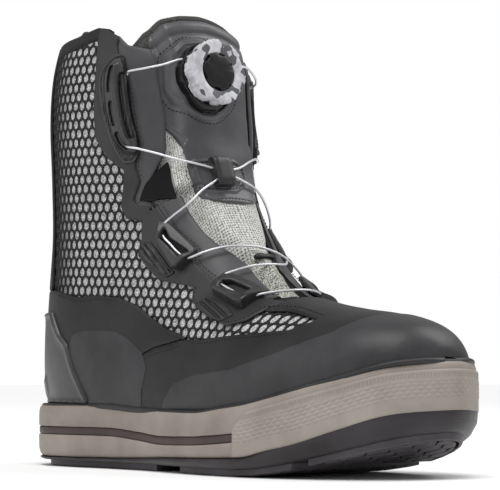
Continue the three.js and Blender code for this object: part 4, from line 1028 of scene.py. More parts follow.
def panel_edge(section, across):
    """Distance in millimetres from the panel's edge."""
    side = (1 - np.abs(across)) * np.interp(section, PANEL_LEFT[:, 0], PANEL_LEFT[:, 1]) * 45
    low = (section - PANEL_LEFT[0, 0]) * SECTION_LENGTH
    return np.minimum(side, low)


def panel_top(section, turn, edge=9.0):
    """Height over the form of the panel's face."""
    base = form_point(section, turn, tongue_offset(section, turn))
    u = np.clip(edge / 1.2, 0, 1)
    band = 0.25 * swell(edge, 3.4, 0.5) + 0.2 * swell(edge, 1.4, 0.8)
    folds = 0.3 * np.exp(-((section - 16.4 - 3.0 * (turn - 1)) / 0.42) ** 2) * smooth(turn, 0.93, 0.83)
    folds -= 0.25 * np.exp(-((section - 15.7 - 4.0 * (turn - 1)) / 0.30) ** 2) * smooth(turn, 0.95, 0.85)
    height = tongue_offset(section, turn) + 0.15 + np.sqrt(1 - (1 - u) ** 2)
    return height + tongue_relief(section, turn) + pad_relief(base) + band * (section < 21) + folds


def between_faces(name, top, bottom, smooth_angle):
    """A closed sheet from two equal grids of points, the first one outside."""
    rows, columns = top.shape[:2]
    count = rows * columns
    grid = np.arange(count).reshape(rows, columns)
    cells = grid_cells(grid)
    faces = list(cells[:, BACKWARDS]) + list(cells + count)
    faces += [(here, after, after + count, here + count) for here, after in grid_border(grid)]
    piece = new_piece(name, np.vstack([top.reshape(-1, 3), bottom.reshape(-1, 3)]), faces, smooth_angle)
    faces_outward(piece)
    return piece


def build_tongue():
    across = np.linspace(-1, 1, 81)
    body = tongue_layer("tongue_pad", np.linspace(TONGUE_FOOT, TONGUE_TOP, 190), across, -6, 0, 5)
    finished(body, tongue_textile(), "tongue_textile", "tongue")
    share, a = np.meshgrid(np.linspace(0, 1, 250), np.linspace(-1, 1, 161), indexing="ij")
    top_row = tongue_top(tongue_turn(20.5, a * PANEL_LEFT[-1, 1])) - 0.56
    s = PANEL_LEFT[0, 0] + (top_row - PANEL_LEFT[0, 0]) * share
    half = np.interp(s, PANEL_LEFT[:, 0], PANEL_LEFT[:, 1])
    turn = tongue_turn(s, a * half)
    edge = panel_edge(s, a)
    top = form_point(s, turn, panel_top(s, turn, edge))
    bottom = form_point(s, turn, tongue_offset(s, turn) - 0.8 + tongue_relief(s, turn))
    panel = between_faces("tongue_panel_film", top, bottom, 50)
    finished(panel, tongue_synthetic, "tongue_synthetic", "tongue_panel")


build_tongue()


# Sole
def outline_ring():
    """The outline of the sole as a closed curve of even places, heel first up the outer side."""
    corners = np.stack([OUTLINE[:, 1] * SOLE_WIDTH, along(OUTLINE[:, 0])], -1)
    total = len(corners)
    curve = []
    for k in range(total):
        p = [corners[(k + d) % total] for d in (-1, 0, 1, 2)]
        gap = [math.sqrt(np.linalg.norm(p[d + 1] - p[d])) for d in range(3)]
        first = ((p[1] - p[0]) / gap[0] - (p[2] - p[0]) / (gap[0] + gap[1]) + (p[2] - p[1]) / gap[1]) * gap[1]
        last = ((p[2] - p[1]) / gap[1] - (p[3] - p[1]) / (gap[1] + gap[2]) + (p[3] - p[2]) / gap[2]) * gap[1]
        curve += [hermite(t, p[1], first, p[2], last) for t in np.linspace(0, 1, 40)[:-1]]
    return np.array(curve)


def side_at(curve, y, outer):
    heel, toe = int(np.argmin(curve[:, 1])), int(np.argmax(curve[:, 1]))
    total = len(curve)
    if outer:
        walk = [(heel + k) % total for k in range((toe - heel) % total + 1)]
    else:
        walk = [(heel - k) % total for k in range((heel - toe) % total + 1)]
    side = curve[walk]
    return np.interp(y, side[:, 1], side[:, 0])


SOLE_STEPS = 150
sole_curve = outline_ring()
heel_y, toe_y = sole_curve[:, 1].min(), sole_curve[:, 1].max()
stations = heel_y + (toe_y - heel_y) * (0.5 - 0.5 * np.cos(np.pi * np.arange(SOLE_STEPS + 1) / SOLE_STEPS))
heel_x = sole_curve[np.argmin(sole_curve[:, 1]), 0]
toe_x = sole_curve[np.argmax(sole_curve[:, 1]), 0]
sole_ring = np.vstack([
    [[heel_x, heel_y]],
    np.stack([side_at(sole_curve, stations[1:-1], True), stations[1:-1]], -1),
    [[toe_x, toe_y]],
    np.stack([side_at(sole_curve, stations[1:-1], False), stations[1:-1]], -1)[::-1],
])


def ring_at(inward, height):
    """The sole's outline moved in by a distance, at a height that depends on the place along."""
    before, after = np.roll(sole_ring, 1, axis=0), np.roll(sole_ring, -1, axis=0)
    outward = unit(np.stack([after[:, 1] - before[:, 1], before[:, 0] - after[:, 0]], -1))
    moved = sole_ring - outward * np.broadcast_to(inward, len(sole_ring))[:, None]
    return np.column_stack([moved, np.broadcast_to(height(moved[:, 1]), len(moved))])


def sole_body(name, levels):
    """A closed body through rings from the bottom up, its ends bridged side to side."""
    rings = [ring_at(inward, height) for inward, height in levels]
    count = len(sole_ring)
    faces = []
    for ring in range(len(rings) - 1):
        for k in range(count):
            a, b = ring * count + k, ring * count + (k + 1) % count
            faces.append((a, b, b + count, a + count))
    top = (len(rings) - 1) * count
    for k in range(count // 2):
        here = (k, k + 1, count - k - 1, (count - k) % count)
        quad = here if k and k < count // 2 - 1 else tuple(dict.fromkeys(here))
        faces.append(tuple(reversed(quad)))
        faces.append(tuple(top + q for q in quad))
    return new_piece(name, np.vstack(rings), faces, 40)


def rubber(name, dark, light, roughness, grain=700.0):
    return synthetic(name, dark, light, roughness, grain, 0.0001)


side_rubber = rubber("side_rubber", (126, 118, 111), (142, 134, 126), 0.6)
stripe_rubber = rubber("stripe_rubber", (56, 47, 45), (66, 56, 53), 0.5)


def build_sole():
    def between(share):
        def height(y):
            low, high = sole_height(y, UNDER), sole_height(y, RIM)
            return low + (high - low) * share
        return height

    def stripe_at(distance):
        return lambda y: sole_height(y, STRIPE) + distance

    end = smooth(sole_ring[:, 1], 178, 170)
    fade = 1.6 * end
    levels = [(4.2, between(0.0)), (2.0, between(0.015)), (0.9, between(0.06)), (0.25, between(0.14)),
              (0, between(0.24)), (0, stripe_at(-2.9)), (0.25 * end, stripe_at(-2.5)), (fade, stripe_at(-2.2)),
              (fade, stripe_at(2.2)), (0.25 * end, stripe_at(2.5)), (0, stripe_at(2.9)), (0, between(0.80)),
              (0.15, between(0.90)), (0.7, between(0.965)), (1.8, between(1.0)), (4, between(1.0)),
              (7.5, between(0.97)), (9, lambda y: sole_height(y, BED) - 0.5)]
    body = sole_body("midsole_wall", levels)
    finished(body, side_rubber, "midsole_rubber", "midsole")
    stripe_levels = [(2.2, stripe_at(-2.15)), (0.9, stripe_at(-2.1)), (0.45, stripe_at(-1.8)),
                     (0.3, stripe_at(-0.8)), (0.3, stripe_at(0.8)), (0.45, stripe_at(1.8)),
                     (0.9, stripe_at(2.1)), (2.2, stripe_at(2.15))]
    rings = [ring_at(inward, height) for inward, height in stripe_levels]
    kept = np.flatnonzero(sole_ring[:, 1] < 177.5)
    order = sorted(kept, key=lambda k: k if k < len(sole_ring) / 2 else k - len(sole_ring))
    width = len(order)
    points = np.vstack([ring[order] for ring in rings])
    faces = []
    total = len(rings)
    for ring in range(total):
        for k in range(width - 1):
            a, b = ring * width + k, ring * width + k + 1
            c, d = ((ring + 1) % total) * width + k + 1, ((ring + 1) % total) * width + k
            faces.append((a, b, c, d))
    faces.append(tuple(ring * width for ring in range(total)))
    faces.append(tuple(ring * width + width - 1 for ring in range(total))[::-1])
    stripe = new_piece("side_stripe", points, faces, 50)
    faces_outward(stripe)
    finished(stripe, stripe_rubber, "stripe_rubber", "sidewall_stripe")


build_sole()


# Toe guard with its relief, the welt and the tread
GUARD_BRICK, GUARD_ROW = 4.4, 2.0
GUARD_BACK = np.array([[-40, 0.677], [28.0, 0.684], [31.5, 0.692], [33.3, 0.706], [40.0, 0.73]])


def guard_relief(run, height, top):
    """Rows of low pads like a brick bond, and fine ticks under the top edge."""
    row = np.round(height / GUARD_ROW)
    away_up = height / GUARD_ROW - row
    away_run = run / GUARD_BRICK + row * 0.5
    away_run = away_run - np.round(away_run)
    pad = 0.3 * np.sqrt(np.clip(1 - (away_run / 0.44) ** 2 - (away_up / 0.44) ** 2, 0, 1))
    quiet = smooth(top - height, 4.6, 5.6) * smooth(height, 5.5, 8.0)
    wave = np.sin(run * 2 * math.pi / 1.9)
    tick = 0.3 * smooth(np.abs(top - height - 3.0), 1.3, 1.0) * smooth(wave, 0.0, 0.5)
    return pad * quiet - tick


def build_guard():
    total = len(sole_ring)
    run = run_along(np.vstack([sole_ring, sole_ring[:1]]))[:-1]
    half = total // 2
    y_outer, run_outer = sole_ring[: half + 1, 1], run[: half + 1]
    y_inner, run_inner = sole_ring[half:, 1][::-1], run[half:][::-1]
    before, after = np.roll(sole_ring, 1, axis=0), np.roll(sole_ring, -1, axis=0)
    outward = unit(np.stack([after[:, 1] - before[:, 1], before[:, 0] - after[:, 0]], -1))
    steps_up = np.linspace(0, 1, 66)
    steps_run = np.linspace(0, 1, 620)
    back_up = along(np.interp(16 + 20 * steps_up, GUARD_BACK[:, 0], GUARD_BACK[:, 1]))
    outer, inner = [], []
    for v, y0 in zip(steps_up, back_up):
        r0, r1 = np.interp(y0, y_outer, run_outer), np.interp(y0, y_inner, run_inner)
        r = r0 + (r1 - r0) * steps_run
        x, y = np.interp(r, run, sole_ring[:, 0]), np.interp(r, run, sole_ring[:, 1])
        nx, ny = np.interp(r, run, outward[:, 0]), np.interp(r, run, outward[:, 1])
        low, high = sole_height(y, UNDER) + 0.5, sole_height(y, RIM) - 4.0
        height = (high - low) * v
        corner = np.minimum(np.minimum(height, high - low - height), np.minimum(r - r0, r1 - r))
        roll = rounded(corner, 1.2)
        out = 0.1 + 0.95 * roll + guard_relief(r, height, high - low) * (corner > 1.2)
        outer.append(np.column_stack([x + nx * out, y + ny * out, low + height]))
        inner.append(np.column_stack([x - nx * 0.6, y - ny * 0.6, low + height]))
    rows, columns = len(steps_up), len(steps_run)
    count = rows * columns
    grid = np.arange(count).reshape(rows, columns)
    cells = grid_cells(grid)
    faces = list(cells) + list(cells[:, BACKWARDS] + count)
    faces += [(after, here, here + count, after + count) for here, after in grid_border(grid)]
    guard = new_piece("toe_guard_panel", np.vstack(outer + inner), faces, 50)
    finished(guard, guard_rubber, "guard_rubber", "toe_guard")


guard_rubber = rubber("guard_rubber", (128, 122, 114), (146, 139, 131), 0.55)
welt_rubber = rubber("welt_rubber", (34, 33, 33), (46, 45, 45), 0.45)
plate_rubber = rubber("plate_rubber", (36, 33, 35), (50, 47, 50), 0.42)
lug_rubber = rubber("lug_rubber", (62, 58, 62), (84, 80, 84), 0.5)


def build_welt():
    """A bead where the upper meets the rim of the sole, right round."""
    def depth(_section, _turn, points):
        height = points[..., 2] - sole_height(points[..., 1], RIM)
        return 1.9 - np.abs(height + 0.6 - 1.0 * smooth(points[..., 1], 140.0, 215.0))

    def face(depth_in, _chart, _base):
        out = 1.3 + 1.6 * smooth(_base[:, 1], 140.0, 215.0)
        return 0.1 + out * rounded(depth_in, 1.9)

    bead = form_layer("welt_bead", depth, -1.0, face, (0, LAST_SECTION), (-1, 1), quarter=70, section_step=0.07,
                      levels=(0.2, 0.6, 1.2))
    finished(bead, welt_rubber, "welt_rubber", "welt")
    cord = [(1.9, -1.0), (1.6, 0.2), (2.0, 0.9), (3.0, 1.3), (5.4, 1.3), (6.0, 0.4), (6.0, -1.0)]
    rings = [ring_at(inward, lambda y, rise=rise: sole_height(y, RIM) + rise) for inward, rise in cord]
    count, total = len(rings[0]), len(rings)
    faces = []
    for level in range(total):
        for k in range(count):
            a, b = level * count + k, level * count + (k + 1) % count
            c, d = ((level + 1) % total) * count + (k + 1) % count, ((level + 1) % total) * count + k
            faces.append((a, b, c, d))
    ring = new_piece("welt_ring", np.vstack(rings), faces, 40)
    faces_outward(ring)
    finished(ring, welt_rubber, "welt_rubber")


PADS = [(0.0, 0.415), (0.50, 0.785), (0.815, 1.0)]
PLATE_PITCH = 12.6


def clipped(polygon, start, run):
    """The part of a polygon on the left of a line."""
    kept = []
    side = [run[0] * (p[1] - start[1]) - run[1] * (p[0] - start[0]) for p in polygon]
    for k, here in enumerate(polygon):
        nxt = (k + 1) % len(polygon)
        if side[k] >= 0:
            kept.append(here)
        if (side[k] >= 0) != (side[nxt] >= 0):
            t = side[k] / (side[k] - side[nxt])
            kept.append(here + t * (polygon[nxt] - here))
    return kept


def pad_outline(first, last, inward):
    """Outline of one tread pad, anticlockwise from above."""
    ring = ring_at(inward, lambda y: y * 0)[:, :2][::6]
    polygon = clipped(list(ring), np.array([0, along(first)]), np.array([1.0, 0.0]))
    return clipped(polygon, np.array([0, along(last)]), np.array([-1.0, 0.0]))


def shrink(polygon, distance):
    corners = np.array(polygon)
    before, after = np.roll(corners, 1, axis=0), np.roll(corners, -1, axis=0)
    first, last = unit(corners - before), unit(after - corners)
    left = unit(np.stack([-(first + last)[:, 1], (first + last)[:, 0]], -1))
    return corners + left * distance


def build_tread():
    def plate_at(share, lift=0.0):
        def height(y):
            low, high = sole_height(y, GROUND) + 3.6, sole_height(y, UNDER)
            return low + (high - low) * share + lift * smooth(y, 165.0, 225.0)
        return height

    wrap = smooth(sole_ring[:, 1], 165.0, 225.0)
    plate = sole_body("outsole_plate", [
        (9, plate_at(0)), (7, plate_at(0)), (4.4, plate_at(0.03)), (2.6, plate_at(0.12)), (1.4, plate_at(0.32)),
        (0.9 - 1.1 * wrap, plate_at(0.55)), (1.1 - 1.7 * wrap, plate_at(0.8, 1.2)),
        (1.7 - 2.2 * wrap, plate_at(0.93, 2.6)), (3.4, plate_at(1.0, 2.9)),
    ])
    finished(plate, plate_rubber, "outsole_rubber", "outsole")
    points, faces = [], []

    def prism(polygon, bevel, tall=3.9):
        polygon = [p for p, q in zip(polygon, polygon[1:] + polygon[:1]) if np.hypot(*(p - q)) > 0.25]
        if len(polygon) < 3:
            return
        corners = np.array(polygon)
        after = np.roll(corners, -1, axis=0)
        area = 0.5 * abs((corners[:, 0] * after[:, 1] - after[:, 0] * corners[:, 1]).sum())
        if area < 9:
            return
        inner = corners + (corners.mean(0) - corners) * min(0.12, bevel / math.sqrt(area) * 1.6)
        base = len(points)
        n = len(corners)
        for ring, height in ((inner, 0.0), (corners, bevel), (corners, tall)):
            z = sole_height(ring[:, 1], GROUND) + height
            points.extend(np.column_stack([ring, z]))
        faces.append(tuple(base + k for k in range(n))[::-1])
        for level in range(2):
            for k in range(n):
                nxt = (k + 1) % n
                low, high = base + level * n, base + (level + 1) * n
                faces.append((low + k, low + nxt, high + nxt, high + k))
        faces.append(tuple(base + 2 * n + k for k in range(n)))

    angle = np.arange(6) * math.pi / 3
    cell = np.stack([np.cos(angle), np.sin(angle)], -1) * (PLATE_PITCH - 1.1) / math.sqrt(3)
    row_step = PLATE_PITCH / 2
    for first, last in PADS:
        pad = pad_outline(first, last, 8.2)
        inside = shrink(pad, 2.4)
        for row in range(-40, 60):
            for column in range(-8, 9):
                x = (column + (row % 2) / 2) * PLATE_PITCH * math.sqrt(3)
                y = row * row_step
                if not along(first) - 8 < y < along(last) + 8:
                    continue
                polygon = list(cell + (x, y))
                for k in range(len(inside)):
                    if len(polygon) < 3:
                        break
                    polygon = clipped(polygon, inside[k], inside[(k + 1) % len(inside)] - inside[k])
                if len(polygon) >= 3:
                    prism(polygon, 0.45)
    lugs = new_piece("tread_plates", points, faces, 25)
    finished(lugs, lug_rubber, "outsole_rubber")

    points, faces = [], []
    for first, last in PADS:
        pad = np.array(pad_outline(first, last, 7.0))
        rings = [(pad, 3.9), (pad, 0.7), (shrink(pad, 0.5), 0.25), (shrink(pad, 1.7), 0.25), (shrink(pad, 2.1), 0.7),
                 (shrink(pad, 2.1), 3.9)]
        n = len(pad)
        base = len(points)
        for ring, height in rings:
            points.extend(np.column_stack([ring, sole_height(ring[:, 1], GROUND) + height]))
        for level in range(len(rings)):
            for k in range(n):
                nxt = (k + 1) % n
                low, high = base + level * n, base + ((level + 1) % len(rings)) * n
                faces.append((low + k, high + k, high + nxt, low + nxt))
    rims = new_piece("tread_rims", points, faces, 40)
    faces_outward(rims)
    finished(rims, lug_rubber, "outsole_rubber")


build_guard()
build_welt()
build_tread()


# Places on the outer side of the form from places in side view
class SideMap:
    def __init__(self):
        sections = np.linspace(0.5, LAST_SECTION, 450)
        turns = turn_steps(50, 0, 1)
        grid_s, grid_t = np.meshgrid(sections, turns, indexing="ij")
        points = form_surface(grid_s, grid_t).reshape(-1, 3)
        self.chart = np.stack([grid_s.ravel(), grid_t.ravel()], -1)
        tree = kdtree.KDTree(len(points))
        for k, (_x, y, z) in enumerate(points):
            tree.insert((y, z, 0.0), k)
        tree.balance()
        self.tree = tree

    def chart_of(self, line):
        """Section and turn of side-view places, refined from the nearest known place."""
        found = np.array([self.chart[self.tree.find((y, z, 0.0))[1]] for y, z in line])
        goal = np.asarray(line, float)
        for _ in range(5):
            here = form_surface(found[:, 0], found[:, 1])[:, 1:3]
            by_s = (form_surface(found[:, 0] + 0.01, found[:, 1])[:, 1:3] - here) / 0.01
            by_t = (form_surface(found[:, 0], found[:, 1] + 0.002)[:, 1:3] - here) / 0.002
            gap = goal - here
            det = by_s[:, 0] * by_t[:, 1] - by_s[:, 1] * by_t[:, 0]
            det = np.where(np.abs(det) < 1.0, 1.0, det)
            ds = (gap[:, 0] * by_t[:, 1] - gap[:, 1] * by_t[:, 0]) / det
            dt = (by_s[:, 0] * gap[:, 1] - by_s[:, 1] * gap[:, 0]) / det
            found[:, 0] = np.clip(found[:, 0] + np.clip(ds, -0.3, 0.3), 0.5, LAST_SECTION)
            found[:, 1] = np.clip(found[:, 1] + np.clip(dt, -0.03, 0.03), 0.02, 0.98)
        return found


side_map = SideMap()


def resampled(line, spacing, closed=False):
    """Places at an even spacing along a line."""
    line = np.asarray(line, float)
    if closed:
        line = np.vstack([line, line[:1]])
    run = run_along(line)
    count = max(2, round(run[-1] / spacing) + 1)
    at = np.linspace(0, run[-1], count)
    return np.stack([np.interp(at, run, line[:, k]) for k in range(line.shape[1])], -1)


def curved(line, spacing=1.0, closed=False):
    """A smooth line through its places."""
    line = np.asarray(line, float)
    if closed:
        padded = np.vstack([line[-1:], line, line[:2]])
    else:
        padded = np.vstack([2 * line[:1] - line[1:2], line, 2 * line[-1:] - line[-2:-1]])
    dense = []
    for k in range(len(padded) - 3):
        dense += [through(t, *padded[k:k + 4]) for t in np.linspace(0, 1, 9)[:-1]]
    dense.append(padded[-2])
    return resampled(dense, spacing)


def line_distance(points, line):
    """Distance in side view from each point to a line."""
    nearest = np.full(points.shape[:-1], 1e9)
    for start, end in zip(line[:-1], line[1:]):
        nearest = np.minimum(nearest, segment_distance(points[..., 1:3], start, end))
    return nearest


# Stitches: short capsules in rows
class Stitches:
    LENGTH, RADIUS, SPACING, SIDES = 1.7, 0.3, 2.5, 5

    def __init__(self):
        self.points, self.faces = [], []

    def row(self, path, normals):
        """Lays stitches along a path of places with their outward normals."""
        run = run_along(path)
        count = int(run[-1] / self.SPACING)
        for n in range(count):
            ends = [(n + 0.5) * self.SPACING + d * self.LENGTH / 2 for d in (-1, 1)]
            a, b = (np.array([np.interp(e, run, path[:, k]) for k in range(3)]) for e in ends)
            out = np.array([np.interp(sum(ends) / 2, run, normals[:, k]) for k in range(3)])
            ahead = unit(b - a)
            beside = unit(np.cross(out, ahead))
            out = np.cross(ahead, beside)
            base = len(self.points)
            for place, size, sunk in ((a, 0.5, -0.18), (a + (b - a) * 0.25, 1, 0), (a + (b - a) * 0.75, 1, 0),
                                      (b, 0.5, -0.18)):
                for k in range(self.SIDES):
                    angle = 2 * math.pi * k / self.SIDES
                    arm = beside * math.cos(angle) + out * math.sin(angle)
                    self.points.append(place + out * sunk + arm * self.RADIUS * size)
            for level in range(3):
                for k in range(self.SIDES):
                    low, nxt = base + level * self.SIDES, (k + 1) % self.SIDES
                    self.faces.append((low + k, low + nxt, low + self.SIDES + nxt, low + self.SIDES + k))
            self.faces.append(tuple(base + k for k in range(self.SIDES))[::-1])
            self.faces.append(tuple(base + 3 * self.SIDES + k for k in range(self.SIDES)))

    def side_row(self, line, lift, both=True):
        """A row along a line in side view, on the outer side and mirrored on the inner one."""
        chart = side_map.chart_of(curved(line))
        for mirror in ((1, -1) if both else (1,)):
            turn = chart[:, 1] if mirror > 0 else 2 - chart[:, 1]
            base = form_surface(chart[:, 0], turn)
            normal = form_normal(chart[:, 0], turn)
            self.row(base + normal * (lift + creases(base))[:, None], normal)

    def piece(self, name, material, slot):
        return finished(new_piece(name, self.points, self.faces, 60), material, slot)


thread_black = synthetic("thread_black", (18, 18, 18), (30, 30, 30), 0.6)


# Cable guides on the sides
def two_sides(name, depth, face, low, section_range, nodes, material, slot, quarter=150, step=0.05,
              levels=(0.3, 0.9)):
    for side, half, turns in BOTH_SIDES:
        def here(section, turn, points, half=half):
            return np.minimum(depth(section, turn, points), half * points[..., 0] - 1)
        piece = form_layer(f"{name}_{side}", here, low, face, section_range, turns, quarter, step, levels)
        finished(piece, material, slot, *[f"{node}_{side}" for node in nodes])


GUIDES = {
    "mid": {
        "outline": [(90.0, 137.6), (94.6, 137.2), (112.9, 121.7), (112.9, 119.0), (107.8, 110.4), (104.6, 110.6),
                    (90.4, 126.5)],
        "window": [(93.6, 133.6), (98.3, 127.4), (110.2, 119.6), (106.5, 116.4), (93.4, 127.2)],
        "front": [(94.6, 137.2), (112.9, 121.7)],
        "ribs": [(77.3, 126.5), (85.1, 127.0), (98.8, 113.5), (105.0, 109.0), (99.6, 106.4), (92.4, 109.6),
                 (77.7, 119.9)],
        "run": (0.72, -0.69),
        "sections": (10.5, 14.2),
    },
    "low": {
        "outline": [(131.2, 106.6), (134.2, 107.4), (154.4, 98.0), (156.4, 95.4), (154.8, 88.5), (150.6, 89.2),
                    (131.6, 97.4)],
        "window": [(135.0, 101.4), (138.0, 102.0), (149.8, 97.4), (150.6, 92.8), (136.2, 97.6)],
        "front": [(134.2, 107.4), (154.4, 98.0)],
        "ribs": [(128.2, 95.8), (143.7, 90.2), (152.6, 84.8), (145.9, 81.2), (135.9, 83.7), (123.3, 90.0)],
        "run": (0.88, -0.47),
        "sections": (7.4, 11.2),
    },
}


def groove_shaded(name, painted_groove_shade, high, low_height, high_height, roughness):
    """Moulding with painted shade: its grooves are darker than its ridges, by the height kept on the piece."""
    finish, nodes, links, shader, where = fabric_nodes(name, roughness)
    height = kept_value(nodes, "height")
    # Painted shade: the colour runs from near black in the low parts to the plastic's tone on the raised parts.
    tone = ramp(nodes, links, height, low_height, high_height, linear(*painted_groove_shade), linear(*high))
    shade = nodes.new("ShaderNodeMix")
    shade.data_type = "RGBA"
    shade.blend_type = "MULTIPLY"
    shade.inputs["Factor"].default_value = 1.0
    links.new(tone, shade.inputs["A"])
    links.new(ramp(nodes, links, noise(nodes, links, where, 60, 3), 0.35, 0.65, (0.82,) * 3, (1.1,) * 3),
              shade.inputs["B"])
    links.new(shade.outputs["Result"], shader.inputs["Base Color"])
    shader.inputs["Specular IOR Level"].default_value = 0.35
    bump(nodes, links, shader, noise(nodes, links, where, 900, 2), 0.5, 0.0001)
    return finish


# The rib pads' troughs get painted shade, darker the lower they lie.
ribs_black = groove_shaded("ribs_black", (8, 8, 8), (44, 44, 45), 0.2, 1.0, 0.5)


def build_side_guides():
    for name, guide in GUIDES.items():
        front = guide["front"]

        def frame_depth(_section, _turn, points, guide=guide):
            return np.minimum(outline_depth(points, guide["outline"]), -outline_depth(points, guide["window"]))

        def frame_face(depth, _chart, base, front=front):
            away = line_distance(base, front)
            height = 2.4 + 3.8 * smooth(away, 0.0, 7.5)
            return height - 1.3 * (1 - rounded(depth, 1.1))

        two_sides(f"{name}_guide_frame", frame_depth, frame_face, -0.2, guide["sections"], (f"{name}_guide",),
                  guide_plastic, "guide_plastic", levels=(0.3, 1.1))

        def floor_depth(_section, _turn, points, guide=guide):
            return outline_depth(points, grown(guide["window"], 1.0))

        two_sides(f"{name}_guide_floor", floor_depth, lambda depth, _chart, _base: 0.6 + 0 * depth, -0.2,
                  guide["sections"], (), web_plastic, "guide_plastic", quarter=80, step=0.1, levels=())

        def ribs_depth(_section, _turn, points, guide=guide):
            return outline_depth(points, guide["ribs"])

        def ribs_face(depth, _chart, base, guide=guide):
            across = base[:, 1] * -guide["run"][1] + base[:, 2] * guide["run"][0]
            wave = np.cos(across * 2 * math.pi / 2.9)
            inside = smooth(depth, 1.0, 1.6)
            return 0.75 * rounded(depth, 0.6) + 0.75 * inside * (wave - 0.3)

        two_sides(f"{name}_rib_pad", ribs_depth, ribs_face, -0.2, guide["sections"], (), ribs_black,
                  "overlay_synthetic", levels=(0.3, 1.2))


TOP_PAD = [(61.3, 234.8), (56.0, 231.6), (53.0, 228.3), (50.4, 224.0), (49.6, 218.8), (50.2, 209.2), (51.8, 201.0),
           (54.6, 192.3), (59.8, 180.1), (62.4, 175.0), (65.9, 171.9), (71.6, 171.9), (74.3, 176.3), (74.6, 183.4),
           (72.8, 192.7), (70.4, 204.4), (68.7, 217.9), (67.5, 225.7), (65.0, 233.0)]
TOP_BODY = [(61.4, 231.6), (57.4, 227.6), (55.2, 222.6), (55.0, 213.4), (56.1, 201.8), (60.3, 188.4), (63.4, 182.4),
            (66.9, 178.9), (73.0, 177.2), (74.4, 180.0), (74.0, 186.4), (72.4, 193.4), (70.2, 204.4), (68.4, 217.9),
            (66.6, 226.6), (64.2, 231.6)]
TOP_BAR = [(62.6, 227.0), (62.6, 215.7), (64.2, 203.4), (67.6, 191.5), (70.8, 183.8)]
TOP_GROOVE = [(66.0, 221.0), (66.4, 211.2), (68.6, 198.4), (71.4, 188.0)]
TOP_SLOTS = [[(59.6, 226.4), (58.4, 220.0), (58.1, 214.0)], [(58.9, 206.4), (59.7, 200.6), (61.2, 194.6)],
             [(63.0, 188.4), (65.2, 183.4), (68.2, 180.8)]]


def build_top_guides():
    def pad_depth(_section, _turn, points):
        return outline_depth(points, TOP_PAD)

    def pad_face(depth, _chart, base):
        edge = 0.9 * rounded(depth, 0.8)
        gap = 0.7 * swell(outline_depth(base, TOP_BODY), -0.7, 0.7)
        rows = 0.6 * swell(depth, 1.9, 0.55) + 0.55 * swell(depth, 4.1, 0.6)
        return edge - np.maximum(rows, gap)

    # The pad's stitch rows and the gap round the body get painted shade, darker the lower they lie.
    two_sides("top_guide_pad", pad_depth, pad_face, -0.2, (15.6, 21.4), (),
              groove_shaded("pad_synthetic", (5, 5, 5), (54, 54, 55), 0.42, 0.78, 0.5),
              "overlay_synthetic", quarter=110, step=0.07, levels=(0.2, 0.7))

    def body_depth(_section, _turn, points):
        return outline_depth(points, TOP_BODY)

    bar, groove = resampled(curved(TOP_BAR), 3), resampled(curved(TOP_GROOVE), 3)
    slots = [curved(slot) for slot in TOP_SLOTS]

    def body_face(depth, _chart, base):
        height = 1.0 + 1.5 * rounded(depth, 0.9)
        height += 2.2 * swell(line_distance(base, bar), 0, 1.25)
        height -= (height - 0.4) * smooth(line_distance(base, groove), 2.5, 1.7)
        for slot in slots:
            height -= 1.9 * smooth(line_distance(base, slot), 1.35, 0.85)
        return height

    # The body's slots and groove get painted shade, and the raised bar stays lighter.
    two_sides("top_guide_body", body_depth, body_face, -0.2, (16.2, 21.0), ("top_guide",),
              groove_shaded("guide_black", (5, 5, 5), (56, 56, 57), 1.2, 2.9, 0.4),
              "guide_plastic", quarter=190, step=0.04, levels=(0.25, 0.8))


build_side_guides()
build_top_guides()


# Dial on the tongue
def seated(piece, seat, lift):
    """Turns a piece made at the origin, facing up, onto a seat of the form and fixes it there."""
    origin, side, up_boot, out = seat
    place = Matrix.Identity(4)
    for row in range(3):
        place[row][0], place[row][1], place[row][2] = side[row], up_boot[row], out[row]
        place[row][3] = (origin[row] + out[row] * lift) * MM
    piece.matrix_world = place
    choose(piece)
    bpy.ops.object.transform_apply(location=True, rotation=True, scale=True)
    return piece


def primitive_named(name):
    piece = bpy.context.object
    piece.name = name
    piece.data.name = name
    bpy.ops.object.transform_apply(location=True, rotation=True, scale=True)
    return piece


def cylinder(name, vertices, radius, depth, height):
    """A round blank about the z axis, in millimetres, its middle at a height."""
    bpy.ops.object.select_all(action="DESELECT")
    bpy.ops.mesh.primitive_cylinder_add(
        vertices=vertices, radius=radius * MM, depth=depth * MM, location=(0, 0, height * MM))
    return primitive_named(name)


def block(name, across, lengthwise, tall, height, cuts):
    """A brick at a height, in millimetres, cut into even faces; it is left in edit mode."""
    bpy.ops.object.select_all(action="DESELECT")
    bpy.ops.mesh.primitive_cube_add(size=1, location=(0, 0, height * MM))
    bpy.ops.transform.resize(value=(across * MM, lengthwise * MM, tall * MM))
    brick = primitive_named(name)
    bpy.ops.object.mode_set(mode="EDIT")
    bpy.ops.mesh.select_all(action="SELECT")
    bpy.ops.mesh.subdivide(number_cuts=cuts)
    return brick


def stretch(across, lengthwise, tall):
    """Stretches what is selected away from the origin."""
    bpy.ops.transform.resize(value=(across, lengthwise, tall), center_override=(0, 0, 0))


def lift(distance):
    bpy.ops.transform.translate(value=(0, 0, distance * MM))


def extrude(distance):
    bpy.ops.mesh.extrude_region_move(TRANSFORM_OT_translate={"value": (0, 0, distance * MM)})


def pick(piece, kind, test):
    """In edit mode, selects the faces or vertices that pass a test of their place in mm."""
    bpy.ops.object.mode_set(mode="OBJECT")
    for part in (piece.data.vertices, piece.data.edges, piece.data.polygons):
        part.foreach_set("select", np.zeros(len(part), bool))
    group = piece.data.polygons if kind == "FACE" else piece.data.vertices
    for item in group:
        place = item.center if kind == "FACE" else item.co
        item.select = bool(test(*(place / MM)))
    bpy.ops.object.mode_set(mode="EDIT")
    bpy.ops.mesh.select_mode(type=kind)


